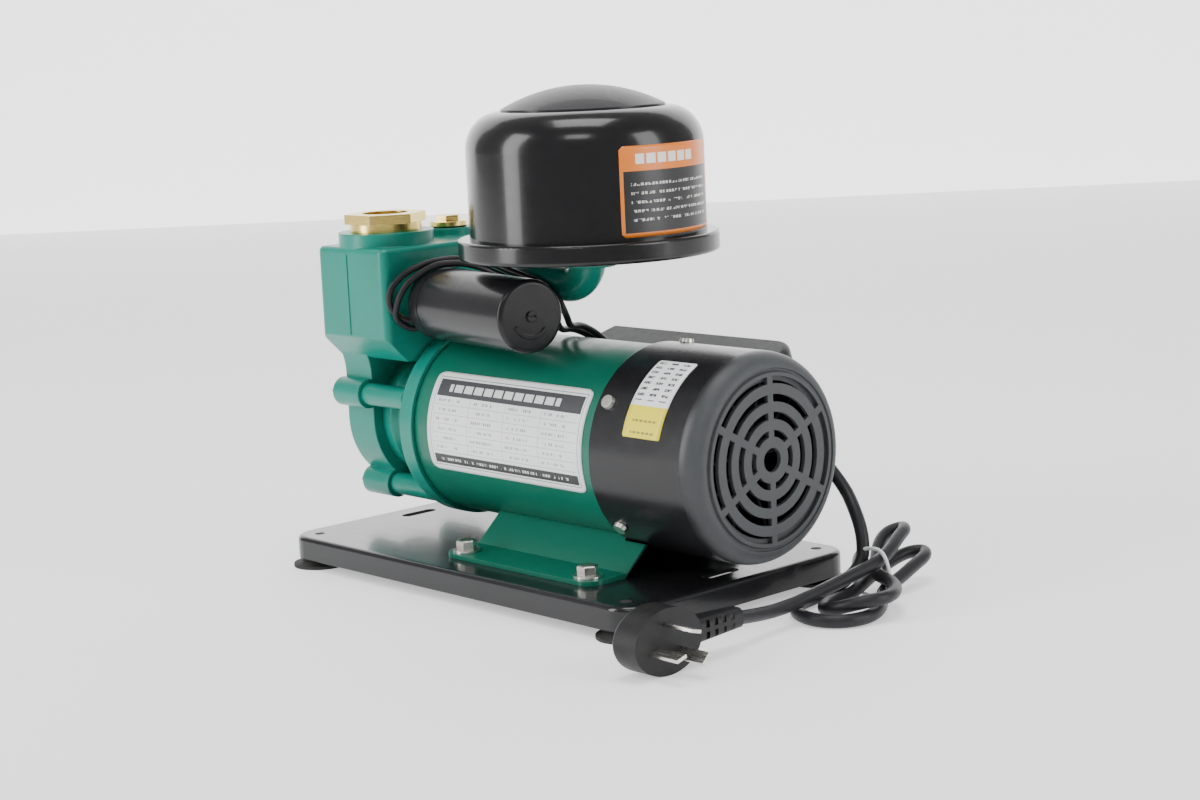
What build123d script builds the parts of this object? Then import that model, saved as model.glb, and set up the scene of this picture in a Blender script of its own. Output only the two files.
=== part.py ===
from build123d import *
from math import cos, sin, radians, tan, pi, sqrt
import os

os.makedirs("parts", exist_ok=True)

# ---------------------------------------------------------------------------
# Driving dimensions, in millimetres.  +Z is up, the motor axis runs along X,
# the fan is at the +X end, and the floor under the rubber feet is z = 0.
# ---------------------------------------------------------------------------

# Base plate
PLATE_LENGTH = 288.0
PLATE_WIDTH = 166.0
PLATE_TOP = 18.0
PLATE_SHEET = 2.0
SKIRT_BOTTOM = 5.0
PLATE_CORNER = 15.0
SLOT_X = 126.0
SLOT_LENGTH = 24.0
SLOT_WIDTH = 7.0
FOOT_PAD_X = 129.0
FOOT_PAD_Y = 71.0
FOOT_PAD_RADIUS = 16.0

# Motor
AXIS_Y = 8.0
AXIS_Z = 80.0
TUBE_RADIUS = 52.7
TUBE_WALL = 1.6
TUBE_START = -72.0
TUBE_END = 84.0
STACK_START = -40.0
STACK_END = 40.0
STATOR_BORE = 30.5
ROTOR_RADIUS = 30.0
SHAFT_RADIUS = 7.5
JOURNAL_RADIUS = 6.0
BEARING_OUTER = 16.0
BEARING_WIDTH = 10.0
FRONT_BEARING_X = -86.0
REAR_BEARING_X = 88.0

# Motor foot
FOOT_START = -25.0
FOOT_END = 95.0
FOOT_SHEET = 2.5
FOOT_REACH = 72.0
BOLT_REACH = 63.0
BOLT_X = (-14.0, 84.0)
M6_RADIUS = 3.0

# Fan cover
COVER_START = 80.0
COVER_FACE = 158.0
COVER_RADIUS = 55.2
COVER_SHEET = 2.4
GRILLE_RINGS = ((43.0, 39.3), (33.8, 30.0), (24.7, 21.0), (15.4, 12.0))
SPOKE_WIDTH = 4.0

# Pump head
HEAD_BACK = -81.0
HEAD_FRONT = -144.0
HEAD_NEAR = -50.0
HEAD_FAR = 58.0
HEAD_TOP = 183.0
HEAD_BOTTOM = 118.0
HEAD_WALL = 5.0
CASING_BACK = -118.0
CASING_RADIUS = 43.0
CHAMBER_RADIUS = 31.0
IMPELLER_RADIUS = 29.6
EAR_ANGLES = (20.0, 160.0, 235.0, 305.0)

# Ports: pipe threads G1 with brass hexagon bushes
HEXAGON = 41.0
BUSH_BORE = 13.2
BUSH_THREAD = 16.6
THREAD_LENGTH = 14.0
OUTLET_X = -113.0
OUTLET_Y = -22.0
INLET_Y = 36.5
INLET_Z = 152.0
PLUG_X = -121.0
PLUG_Y = 31.0

# Pressure tank
TANK_X = 27.5
TANK_Y = 8.0
TANK_BOTTOM = 180.0
TANK_FLANGE_RADIUS = 71.0
TANK_RADIUS = 64.4
TANK_SHOULDER = 258.5
DOME_RADIUS = 44.4
DOME_TOP = 271.0

# Pressure switch
SWITCH_Y = -19.0
SWITCH_Z = 151.0
SWITCH_TURN = 9.7
SWITCH_LENGTH = 112.5
SWITCH_RADIUS = 21.0
SWITCH_CAP_RADIUS = 20.0

# Mains cord
CORD_RADIUS = 3.5

# ---------------------------------------------------------------------------
# Shared planes and axes
# ---------------------------------------------------------------------------

MOTOR_AXIS = Axis((0, AXIS_Y, AXIS_Z), (1, 0, 0))
MOTOR_SIDE = Plane(origin=(0, AXIS_Y, AXIS_Z), x_dir=(1, 0, 0), z_dir=(0, -1, 0))
TANK_AXIS = Axis((TANK_X, TANK_Y, 0), (0, 0, 1))
TANK_SIDE = Plane(origin=(TANK_X, TANK_Y, 0), x_dir=(1, 0, 0), z_dir=(0, -1, 0))


def across(x):
    """Plane across the motor axis at station x: its own x is +Y and its own y is +Z."""
    return Plane(origin=(x, AXIS_Y, AXIS_Z), x_dir=(0, 1, 0), z_dir=(1, 0, 0))


def level(z, x=0.0, y=0.0):
    """Horizontal plane at height z, with its origin at (x, y)."""
    return Plane(origin=(x, y, z), x_dir=(1, 0, 0), z_dir=(0, 0, 1))


def polar(radius, angle):
    """Point at this radius and angle in a plane."""
    return (radius * cos(radians(angle)), radius * sin(radians(angle)))


def span(x_start, x_end, r_in, r_out):
    """Rectangle between two stations and two radii, in the current sketch."""
    corner = (min(x_start, x_end), r_in)
    with Locations(corner):
        Rectangle(abs(x_end - x_start), r_out - r_in, align=(Align.MIN, Align.MIN))


def save(part, name):
    """Label a finished piece and write it to its own file."""
    part.label = name
    export_step(part, f"parts/{name}.step")


# ---------------------------------------------------------------------------
# Base plate: pressed sheet with a skirt all round, two long slots and the
# holes of the foot bolts and of the rubber feet
# ---------------------------------------------------------------------------

bolt_points = [(x, AXIS_Y + side * BOLT_REACH) for x in BOLT_X for side in (-1, 1)]
pad_points = [(sx * FOOT_PAD_X, sy * FOOT_PAD_Y) for sx in (-1, 1) for sy in (-1, 1)]

with BuildPart() as base_plate:
    with BuildSketch(level(SKIRT_BOTTOM)):
        RectangleRounded(PLATE_LENGTH, PLATE_WIDTH, PLATE_CORNER)
    extrude(amount=PLATE_TOP - SKIRT_BOTTOM)
    fillet(base_plate.faces().sort_by(Axis.Z)[-1].edges(), radius=2.6)
    with BuildSketch(level(SKIRT_BOTTOM)):
        RectangleRounded(PLATE_LENGTH - 2 * PLATE_SHEET, PLATE_WIDTH - 2 * PLATE_SHEET,
                         PLATE_CORNER - PLATE_SHEET)
    extrude(amount=PLATE_TOP - PLATE_SHEET - SKIRT_BOTTOM, mode=Mode.SUBTRACT)
    with BuildSketch(level(PLATE_TOP)):
        with Locations((-SLOT_X, 0), (SLOT_X, 0)):
            SlotOverall(SLOT_LENGTH, SLOT_WIDTH, rotation=90)
        with Locations(*bolt_points):
            Circle(M6_RADIUS + 0.4)
        with Locations(*pad_points):
            Circle(3.0)
    extrude(amount=-PLATE_SHEET, mode=Mode.SUBTRACT)
save(base_plate.part, "base_plate")

# Rubber feet: flared cups whose stubs push up through the plate
with BuildPart() as rubber_feet:
    for x, y in pad_points:
        side = Plane(origin=(x, y, 0), x_dir=(1, 0, 0), z_dir=(0, -1, 0))
        with BuildSketch(side):
            with BuildLine():
                Polyline((0, 0), (FOOT_PAD_RADIUS, 0), (FOOT_PAD_RADIUS, 1.8))
                ThreePointArc((FOOT_PAD_RADIUS, 1.8), (10.0, 3.9), (7.0, 8.5))
                Polyline((7.0, 8.5), (7.0, PLATE_TOP - PLATE_SHEET), (3.0, PLATE_TOP - PLATE_SHEET),
                         (3.0, PLATE_TOP), (0, PLATE_TOP), (0, 0))
            make_face()
        revolve(axis=Axis((x, y, 0), (0, 0, 1)))
save(rubber_feet.part, "rubber_feet")

# ---------------------------------------------------------------------------
# Motor foot: one bent sheet, a saddle under the tube and a flange on each side
# ---------------------------------------------------------------------------

SADDLE_RADIUS = TUBE_RADIUS + FOOT_SHEET
saddle_half = 32.0
saddle_end = polar(SADDLE_RADIUS, 270 + saddle_half)
flange_z = PLATE_TOP - AXIS_Z
bend_y = 47.0

with BuildPart() as motor_foot:
    with BuildSketch(across(FOOT_START)):
        with BuildLine():
            Line((-FOOT_REACH, flange_z), (-bend_y, flange_z))
            Line((-bend_y, flange_z), (-saddle_end[0], saddle_end[1]))
            CenterArc((0, 0), SADDLE_RADIUS, 270 - saddle_half, 2 * saddle_half)
            Line(saddle_end, (bend_y, flange_z))
            Polyline((bend_y, flange_z), (FOOT_REACH, flange_z), (FOOT_REACH, flange_z + FOOT_SHEET),
                     (bend_y - 1.2, flange_z + FOOT_SHEET), polar(TUBE_RADIUS, 271 + saddle_half))
            CenterArc((0, 0), TUBE_RADIUS, 269 - saddle_half, 2 * saddle_half + 2)
            Polyline(polar(TUBE_RADIUS, 269 - saddle_half), (1.2 - bend_y, flange_z + FOOT_SHEET),
                     (-FOOT_REACH, flange_z + FOOT_SHEET), (-FOOT_REACH, flange_z))
        make_face()
    extrude(amount=FOOT_END - FOOT_START)
    with BuildSketch(across(COVER_START - 1)):
        Circle(COVER_RADIUS + 1)
    extrude(amount=FOOT_END, mode=Mode.SUBTRACT)
    corners = motor_foot.edges().filter_by(Axis.Z)
    fillet(corners, radius=9.0)
    with BuildSketch(level(PLATE_TOP - 1)):
        with Locations(*bolt_points):
            Circle(M6_RADIUS + 0.4)
    extrude(amount=FOOT_SHEET + 6, mode=Mode.SUBTRACT)
save(motor_foot.part, "motor_foot")

BOLT_SEAT = PLATE_TOP + FOOT_SHEET
WASHER_SHEET = 1.4
with BuildPart() as foot_washers:
    with BuildSketch(level(BOLT_SEAT)):
        with Locations(*bolt_points):
            Circle(7.6)
            Circle(M6_RADIUS + 0.2, mode=Mode.SUBTRACT)
    extrude(amount=WASHER_SHEET)
save(foot_washers.part, "foot_washers")

with BuildPart() as foot_bolts:
    with BuildSketch(level(BOLT_SEAT + WASHER_SHEET)):
        with Locations(*bolt_points):
            RegularPolygon(5.0, 6, major_radius=False)
    extrude(amount=5.2)
    chamfer(foot_bolts.faces().group_by(Axis.Z)[-1].edges(), length=0.6)
    with BuildSketch(level(BOLT_SEAT + WASHER_SHEET)):
        with Locations(*bolt_points):
            Circle(M6_RADIUS)
    extrude(amount=-(BOLT_SEAT + WASHER_SHEET - 8.0))
save(foot_bolts.part, "foot_bolts")

with BuildPart() as foot_nuts:
    with BuildSketch(level(PLATE_TOP - PLATE_SHEET)):
        with Locations(*bolt_points):
            RegularPolygon(5.0, 6, major_radius=False)
            Circle(M6_RADIUS, mode=Mode.SUBTRACT)
    extrude(amount=-5.0)
save(foot_nuts.part, "foot_nuts")

# ---------------------------------------------------------------------------
# Motor: tube, stator, rotor, bearings, brackets and shaft
# ---------------------------------------------------------------------------

TUBE_BORE = TUBE_RADIUS - TUBE_WALL
with BuildPart() as motor_tube:
    with BuildSketch(MOTOR_SIDE):
        span(TUBE_START, TUBE_END, TUBE_BORE, TUBE_RADIUS)
    revolve(axis=MOTOR_AXIS)
save(motor_tube.part, "motor_tube")

TIE_RADIUS = 2.5
TIE_CIRCLE = 47.4
TIE_ANGLES = (45.0, 135.0, 225.0, 315.0)
STATOR_SLOTS = 24
with BuildPart() as stator_core:
    with BuildSketch(across(STACK_START)):
        Circle(TUBE_BORE)
        Circle(STATOR_BORE, mode=Mode.SUBTRACT)
        with PolarLocations(39.0, STATOR_SLOTS):
            SlotOverall(13.0, 4.6, mode=Mode.SUBTRACT)
        with Locations(*[polar(TIE_CIRCLE, angle) for angle in TIE_ANGLES]):
            Circle(TIE_RADIUS + 0.4, mode=Mode.SUBTRACT)
    extrude(amount=STACK_END - STACK_START)
save(stator_core.part, "stator_core")

with BuildPart() as stator_windings:
    for start, end in ((STACK_START - 17, STACK_START), (STACK_END, STACK_END + 17)):
        with BuildSketch(MOTOR_SIDE):
            with Locations(((start + end) / 2, 38.5)):
                RectangleRounded(end - start, 11.0, 4.0)
        revolve(axis=MOTOR_AXIS)
save(stator_windings.part, "stator_windings")

with BuildPart() as rotor_core:
    with BuildSketch(across(STACK_START)):
        Circle(ROTOR_RADIUS)
        Circle(SHAFT_RADIUS, mode=Mode.SUBTRACT)
    extrude(amount=STACK_END - STACK_START)
    for face_x, step in ((STACK_START, -6.0), (STACK_END, 6.0)):
        with BuildSketch(across(face_x)):
            Circle(ROTOR_RADIUS - 1.5)
            Circle(ROTOR_RADIUS - 9.0, mode=Mode.SUBTRACT)
        extrude(amount=step)
save(rotor_core.part, "rotor_core")

SHAFT_START = -135.9
SHAFT_END = 142.0
IMPELLER_BACK = -124.4
IMPELLER_WIDTH = 11.2
IMPELLER_FRONT = IMPELLER_BACK - IMPELLER_WIDTH
KEY_WIDTH = 4.0
FAN_START = 116.0
front_inner = FRONT_BEARING_X + BEARING_WIDTH
with BuildPart() as shaft:
    with BuildSketch(MOTOR_SIDE):
        with BuildLine():
            Polyline((SHAFT_START, 0), (SHAFT_START, JOURNAL_RADIUS - 0.8),
                     (SHAFT_START + 0.8, JOURNAL_RADIUS), (front_inner, JOURNAL_RADIUS),
                     (front_inner, SHAFT_RADIUS), (REAR_BEARING_X, SHAFT_RADIUS),
                     (REAR_BEARING_X, JOURNAL_RADIUS), (SHAFT_END - 0.8, JOURNAL_RADIUS),
                     (SHAFT_END, JOURNAL_RADIUS - 0.8), (SHAFT_END, 0), (SHAFT_START, 0))
        make_face()
    revolve(axis=MOTOR_AXIS)
    with BuildSketch(across(IMPELLER_FRONT + 1)):
        with Locations((0, JOURNAL_RADIUS)):
            Rectangle(KEY_WIDTH, 4.0)
    extrude(amount=IMPELLER_WIDTH - 2, mode=Mode.SUBTRACT)
save(shaft.part, "shaft")

bearing_starts = (FRONT_BEARING_X, REAR_BEARING_X)
BALL_CIRCLE = 11.0
BALL_RADIUS = 2.7
RACE_GAP = 0.3
with BuildPart() as bearing_outer_rings:
    for start in bearing_starts:
        with BuildSketch(MOTOR_SIDE):
            span(start, start + BEARING_WIDTH, 12.9, BEARING_OUTER)
            with Locations((start + BEARING_WIDTH / 2, BALL_CIRCLE)):
                Circle(BALL_RADIUS + RACE_GAP, mode=Mode.SUBTRACT)
        revolve(axis=MOTOR_AXIS)
save(bearing_outer_rings.part, "bearing_outer_rings")

with BuildPart() as bearing_inner_rings:
    for start in bearing_starts:
        with BuildSketch(MOTOR_SIDE):
            span(start, start + BEARING_WIDTH, JOURNAL_RADIUS, 9.1)
            with Locations((start + BEARING_WIDTH / 2, BALL_CIRCLE)):
                Circle(BALL_RADIUS, mode=Mode.SUBTRACT)
        revolve(axis=MOTOR_AXIS)
save(bearing_inner_rings.part, "bearing_inner_rings")

BALL_COUNT = 8
with BuildPart() as bearing_balls:
    for start in bearing_starts:
        for index in range(BALL_COUNT):
            ball_y, ball_z = polar(BALL_CIRCLE, 360 * index / BALL_COUNT)
            with Locations((start + BEARING_WIDTH / 2, AXIS_Y + ball_y, AXIS_Z + ball_z)):
                Sphere(BALL_RADIUS)
save(bearing_balls.part, "bearing_balls")

# Front bracket: a lantern casting between the motor tube and the pump casing.
# Its front wall closes the pump chamber, its rear ring carries the tube.
LANTERN_FRONT = CASING_BACK
LANTERN_RADIUS = 37.0
RING_START = -80.0
RING_END = -68.0
RING_RADIUS = 55.0
SPIGOT_FRONT = -124.0
SEAL_BORE = 13.0
SEAL_POCKET = 15.0
PILLAR_CIRCLE = 48.0
GROOVE_MIDDLE = 34.0
GROOVE_DEPTH = 2.4
PILLAR_RADIUS = 6.5
WINDOW_ANGLES = (90.0, 197.0, 270.0, 343.0)
with BuildPart() as front_bracket:
    with BuildSketch(MOTOR_SIDE):
        with BuildLine():
            Polyline((SPIGOT_FRONT, SEAL_POCKET), (SPIGOT_FRONT, CHAMBER_RADIUS - 0.1),
                     (LANTERN_FRONT, CHAMBER_RADIUS - 0.1), (LANTERN_FRONT, LANTERN_RADIUS),
                     (-110, LANTERN_RADIUS), (-106, 34.0), (-84, 36.0), (-81, 37.4), (RING_START, 42.0),
                     (RING_START, RING_RADIUS - 1.5), (RING_START + 1.5, RING_RADIUS),
                     (RING_END, RING_RADIUS), (RING_END, TUBE_RADIUS), (TUBE_START, TUBE_RADIUS),
                     (TUBE_START, TUBE_BORE), (RING_END, TUBE_BORE), (RING_END, 20.0),
                     (front_inner, 20.0), (front_inner, BEARING_OUTER),
                     (FRONT_BEARING_X, BEARING_OUTER), (FRONT_BEARING_X, 12.0), (-90, 12.0),
                     (-90, 20.0), (-86, 30.0), (-106, 28.0), (-110, 24.0), (-110, 10.5),
                     (-111, 10.5), (-111, SEAL_BORE), (-114, SEAL_BORE), (-114, SEAL_POCKET),
                     (SPIGOT_FRONT, SEAL_POCKET))
        make_face()
    revolve(axis=MOTOR_AXIS)
    with BuildSketch(MOTOR_SIDE):
        span(LANTERN_FRONT, LANTERN_FRONT + GROOVE_DEPTH, GROOVE_MIDDLE - 1.5, GROOVE_MIDDLE + 1.5)
    revolve(axis=MOTOR_AXIS, mode=Mode.SUBTRACT)
    with BuildSketch(across(LANTERN_FRONT)):
        with Locations(*[polar(PILLAR_CIRCLE, angle) for angle in EAR_ANGLES]):
            Circle(PILLAR_RADIUS)
    extrude(amount=RING_START - LANTERN_FRONT)
    for angle in WINDOW_ANGLES:
        middle = polar(30.0, angle)
        outward = (0, cos(radians(angle)), sin(radians(angle)))
        opening = Plane(origin=(-96.5, AXIS_Y + middle[0], AXIS_Z + middle[1]), x_dir=(1, 0, 0),
                        z_dir=outward)
        with BuildSketch(opening):
            RectangleRounded(15.0, 22.0, 3.0)
        extrude(amount=12.0, both=True, mode=Mode.SUBTRACT)
    with BuildSketch(across(LANTERN_FRONT)):
        with Locations(*[polar(PILLAR_CIRCLE, angle) for angle in EAR_ANGLES]):
            Circle(M6_RADIUS)
    extrude(amount=18.0, mode=Mode.SUBTRACT)
    with BuildSketch(across(RING_START)):
        with Locations(*[polar(TIE_CIRCLE, angle) for angle in TIE_ANGLES]):
            Circle(TIE_RADIUS)
    extrude(amount=RING_END - RING_START, mode=Mode.SUBTRACT)
save(front_bracket.part, "front_bracket")

SEAL_FACE = -114.0
with BuildPart() as seal_seat:
    with BuildSketch(MOTOR_SIDE):
        span(SEAL_FACE, -111.0, JOURNAL_RADIUS + 1.0, SEAL_BORE)
    revolve(axis=MOTOR_AXIS)
save(seal_seat.part, "seal_seat")

with BuildPart() as seal_head:
    with BuildSketch(MOTOR_SIDE):
        span(SPIGOT_FRONT + 0.2, -120.4, JOURNAL_RADIUS, 12.6)
        span(-120.4, -116.6, JOURNAL_RADIUS, 10.6)
        span(-116.6, SEAL_FACE - 0.05, JOURNAL_RADIUS, 12.0)
    revolve(axis=MOTOR_AXIS)
save(seal_head.part, "seal_head")

# Rear end shield: carries the rear bearing and the cover screws
SHIELD_END = 92.0
COVER_SCREW_X = 88.0
COVER_SCREW_ANGLES = (78.0, 147.0, 221.0, 319.0)
SCREW_RADIUS = 1.9
SCREW_DEPTH = 5.2


def screw_seat(angle):
    """Plane on the outside of the fan cover, facing outward, where a cover screw sits."""
    y_out, z_out = polar(1.0, angle)
    return Plane(origin=(COVER_SCREW_X, AXIS_Y + COVER_RADIUS * y_out, AXIS_Z + COVER_RADIUS * z_out),
                 x_dir=(1, 0, 0), z_dir=(0, y_out, z_out))


with BuildPart() as screw_shanks:
    for angle in COVER_SCREW_ANGLES:
        with BuildSketch(screw_seat(angle)):
            Circle(SCREW_RADIUS)
        extrude(amount=-SCREW_DEPTH)

with BuildPart() as rear_shield:
    with BuildSketch(MOTOR_SIDE):
        with BuildLine():
            Polyline((TUBE_END - 8, 48.6), (TUBE_END - 8, TUBE_BORE), (TUBE_END, TUBE_BORE),
                     (TUBE_END, TUBE_RADIUS), (SHIELD_END, TUBE_RADIUS), (SHIELD_END, 30.0),
                     (REAR_BEARING_X + BEARING_WIDTH, 20.0), (REAR_BEARING_X + BEARING_WIDTH, BEARING_OUTER),
                     (REAR_BEARING_X, BEARING_OUTER), (REAR_BEARING_X, 12.0),
                     (REAR_BEARING_X - 4, 12.0), (REAR_BEARING_X - 4, 48.6), (TUBE_END - 8, 48.6))
        make_face()
    revolve(axis=MOTOR_AXIS)
    with BuildSketch(across(TUBE_END - 8)):
        with Locations(*[polar(TIE_CIRCLE, angle) for angle in TIE_ANGLES]):
            Circle(TIE_RADIUS)
    extrude(amount=SHIELD_END - TUBE_END + 8, mode=Mode.SUBTRACT)
    add(screw_shanks.part, mode=Mode.SUBTRACT)
save(rear_shield.part, "rear_shield")

with BuildPart() as tie_bolts:
    with BuildSketch(across(RING_START)):
        with Locations(*[polar(TIE_CIRCLE, angle) for angle in TIE_ANGLES]):
            Circle(TIE_RADIUS)
    extrude(amount=SHIELD_END - RING_START)
    with BuildSketch(across(SHIELD_END)):
        with Locations(*[polar(TIE_CIRCLE, angle) for angle in TIE_ANGLES]):
            RegularPolygon(4.0, 6, major_radius=False)
    extrude(amount=3.6)
save(tie_bolts.part, "tie_bolts")

# Cooling fan: hub, back disc and straight blades
FAN_BLADES = 10
FAN_WIDTH = 24.0
with BuildPart() as cooling_fan:
    with BuildSketch(MOTOR_SIDE):
        span(FAN_START, FAN_START + FAN_WIDTH, JOURNAL_RADIUS, 13.0)
        span(FAN_START, FAN_START + 2.0, JOURNAL_RADIUS, 40.0)
    revolve(axis=MOTOR_AXIS)
    with BuildSketch(across(FAN_START)):
        with PolarLocations(28.5, FAN_BLADES):
            Rectangle(35.0, 2.0)
    extrude(amount=FAN_WIDTH)
save(cooling_fan.part, "cooling_fan")

# Fan cover: one pressed shell with a deep rounded edge, a groove around its
# face and a grille of ring slots between six spokes
SHOULDER = 9.0
FACE_RADIUS = 46.2
with BuildPart() as fan_cover:
    with BuildSketch(MOTOR_SIDE):
        with BuildLine():
            inner = COVER_RADIUS - COVER_SHEET
            Polyline((COVER_START, inner), (COVER_START, COVER_RADIUS),
                     (COVER_FACE - SHOULDER - 3, COVER_RADIUS))
            EllipticalCenterArc((COVER_FACE - SHOULDER - 3, FACE_RADIUS + 1.0), SHOULDER + 3 - 0.6,
                                SHOULDER - 1.0, start_angle=0, arc_size=90)
            Polyline((COVER_FACE - 0.6, FACE_RADIUS + 1.0), (COVER_FACE - 0.6, FACE_RADIUS + 0.9),
                     (COVER_FACE - 1.5, FACE_RADIUS + 0.6), (COVER_FACE - 1.5, FACE_RADIUS - 0.6),
                     (COVER_FACE, FACE_RADIUS - 1.2), (COVER_FACE, 0),
                     (COVER_FACE - COVER_SHEET, 0), (COVER_FACE - COVER_SHEET, FACE_RADIUS - 6),
                     (COVER_FACE - 14, inner), (COVER_START, inner))
        make_face()
    revolve(axis=MOTOR_AXIS)
    with BuildSketch(across(COVER_FACE)):
        for outer_radius, inner_radius in GRILLE_RINGS:
            Circle(outer_radius)
            Circle(inner_radius, mode=Mode.SUBTRACT)
        for turn in (30, 90, 150):
            Rectangle(100, SPOKE_WIDTH, rotation=turn, mode=Mode.SUBTRACT)
        Circle(6.2)
    extrude(amount=-COVER_SHEET - 0.2, mode=Mode.SUBTRACT)
    add(screw_shanks.part, mode=Mode.SUBTRACT)
save(fan_cover.part, "fan_cover")

with BuildPart() as fan_cover_screws:
    for angle in COVER_SCREW_ANGLES:
        with BuildSketch(screw_seat(angle)):
            Circle(4.0)
        extrude(amount=2.2, taper=12)
    add(screw_shanks.part)
save(fan_cover_screws.part, "fan_cover_screws")

# ---------------------------------------------------------------------------
# Pump head: one casting with a rectangular chamber, a neck and a round casing.
# A wall parts the chamber into a delivery side and a suction side.
# ---------------------------------------------------------------------------

CHAMFER = 14.0
BOSS_TOP = 190.5
OUTLET_BOSS = 27.5
PLUG_BOSS_TOP = 187.5
INLET_BOSS_X = -147.7
INLET_BOSS = 21.5
PLUG_THREAD = 8.8
ELBOW_Z = 162.0
ELBOW_RADIUS = 9.3
DIVIDER = (16.0, 21.0)
CHAMBER_FRONT = -136.4

with BuildPart() as pump_casing:
    # rectangular chamber, its near lower edge cut back
    with BuildSketch(Plane(origin=(HEAD_FRONT, 0, 0), x_dir=(0, 1, 0), z_dir=(1, 0, 0))):
        with BuildLine():
            Polyline((HEAD_NEAR, HEAD_TOP), (HEAD_FAR, HEAD_TOP), (HEAD_FAR, HEAD_BOTTOM + CHAMFER),
                     (HEAD_FAR - CHAMFER, HEAD_BOTTOM), (HEAD_NEAR + CHAMFER, HEAD_BOTTOM),
                     (HEAD_NEAR, HEAD_BOTTOM + CHAMFER), (HEAD_NEAR, HEAD_TOP))
        make_face()
    extrude(amount=HEAD_BACK - HEAD_FRONT)
    fillet(pump_casing.edges().filter_by(Axis.Z), radius=5.0)
    fillet(pump_casing.faces().sort_by(Axis.Z)[-1].edges(), radius=3.0)
    # neck and round casing
    with BuildSketch(across(HEAD_FRONT + 1.5)):
        with BuildLine():
            CenterArc((0, 0), CASING_RADIUS, 180, 180)
            Line((CASING_RADIUS, 0), (CASING_RADIUS, 30))
            RadiusArc((CASING_RADIUS, 30), (HEAD_FAR - AXIS_Y - 1, 52), 34)
            Polyline((HEAD_FAR - AXIS_Y - 1, 52), (HEAD_FAR - AXIS_Y - 1, 60),
                     (HEAD_NEAR - AXIS_Y + 1.5, 60), (HEAD_NEAR - AXIS_Y + 1.5, 54))
            RadiusArc((HEAD_NEAR - AXIS_Y + 1.5, 54), (-CASING_RADIUS, 26), 34)
            Line((-CASING_RADIUS, 26), (-CASING_RADIUS, 0))
        make_face()
    extrude(amount=CASING_BACK - HEAD_FRONT - 1.5)
    with BuildSketch(across(HEAD_FRONT + 1.5)):
        with Locations(*[polar(PILLAR_CIRCLE, angle) for angle in EAR_ANGLES]):
            Circle(8.5)
    extrude(amount=CASING_BACK - HEAD_FRONT - 1.5)
    with BuildSketch(across(HEAD_FRONT - 2.5)):
        Circle(24.0)
    extrude(amount=6.0)
    # outlet boss, priming boss and inlet boss
    with BuildSketch(level(HEAD_TOP - 2)):
        with Locations((OUTLET_X, OUTLET_Y)):
            Circle(OUTLET_BOSS)
    extrude(amount=BOSS_TOP - HEAD_TOP + 2)
    with BuildSketch(level(HEAD_TOP - 2)):
        with Locations((PLUG_X, PLUG_Y)):
            Circle(14.5)
    extrude(amount=PLUG_BOSS_TOP - HEAD_TOP + 2)
    inlet_plane = Plane(origin=(INLET_BOSS_X, INLET_Y, INLET_Z), x_dir=(0, 1, 0), z_dir=(1, 0, 0))
    with BuildSketch(inlet_plane):
        Circle(INLET_BOSS)
    extrude(amount=HEAD_FRONT - INLET_BOSS_X + 2)
    # mould line up the near face
    with BuildSketch(Plane(origin=(-115.0, HEAD_NEAR, 0), x_dir=(1, 0, 0), z_dir=(0, -1, 0))):
        with Locations((0, HEAD_BOTTOM + CHAMFER + 24)):
            Rectangle(0.9, 46.0)
    extrude(amount=0.5)
    # delivery chamber and suction chamber
    inside = Plane(origin=(HEAD_FRONT + HEAD_WALL, 0, 0), x_dir=(0, 1, 0), z_dir=(1, 0, 0))
    ceiling = HEAD_TOP - HEAD_WALL
    ground = HEAD_BOTTOM + HEAD_WALL
    with BuildSketch(inside):
        with BuildLine():
            Polyline((HEAD_NEAR + HEAD_WALL, ceiling), (DIVIDER[0], ceiling), (DIVIDER[0], ground),
                     (HEAD_NEAR + CHAMFER + 2, ground), (HEAD_NEAR + HEAD_WALL, ground + CHAMFER - 3),
                     (HEAD_NEAR + HEAD_WALL, ceiling))
        make_face()
        with BuildLine():
            Polyline((DIVIDER[1], ceiling), (HEAD_FAR - HEAD_WALL, ceiling),
                     (HEAD_FAR - HEAD_WALL, ground + CHAMFER - 3), (HEAD_FAR - CHAMFER - 2, ground),
                     (DIVIDER[1], ground), (DIVIDER[1], ceiling))
        make_face()
    extrude(amount=HEAD_BACK - HEAD_FRONT - 2 * HEAD_WALL, mode=Mode.SUBTRACT)
    # pump chamber and the two passages up to it
    with BuildSketch(across(CHAMBER_FRONT)):
        Circle(CHAMBER_RADIUS)
    extrude(amount=CASING_BACK - CHAMBER_FRONT, mode=Mode.SUBTRACT)
    with BuildSketch(level(96.0)):
        with Locations((-128.0, -9.0), (-128.0, 29.0)):
            Circle(6.5)
    extrude(amount=ground - 96.0 + 1, mode=Mode.SUBTRACT)
    # threaded ports
    with BuildSketch(level(BOSS_TOP)):
        with Locations((OUTLET_X, OUTLET_Y)):
            Circle(BUSH_THREAD)
    extrude(amount=ceiling - BOSS_TOP - 1, mode=Mode.SUBTRACT)
    with BuildSketch(level(PLUG_BOSS_TOP)):
        with Locations((PLUG_X, PLUG_Y)):
            Circle(PLUG_THREAD + 0.3)
    extrude(amount=ceiling - PLUG_BOSS_TOP - 1, mode=Mode.SUBTRACT)
    with BuildSketch(inlet_plane):
        Circle(BUSH_THREAD)
    extrude(amount=THREAD_LENGTH + 0.2, mode=Mode.SUBTRACT)
    with BuildSketch(Plane(origin=(HEAD_BACK, 0, 0), x_dir=(0, 1, 0), z_dir=(1, 0, 0))):
        with Locations((TANK_Y, ELBOW_Z)):
            Circle(ELBOW_RADIUS - 2.0)
        with Locations((SWITCH_Y, SWITCH_Z)):
            Circle(6.5)
    extrude(amount=-HEAD_WALL - 1, mode=Mode.SUBTRACT)
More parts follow.
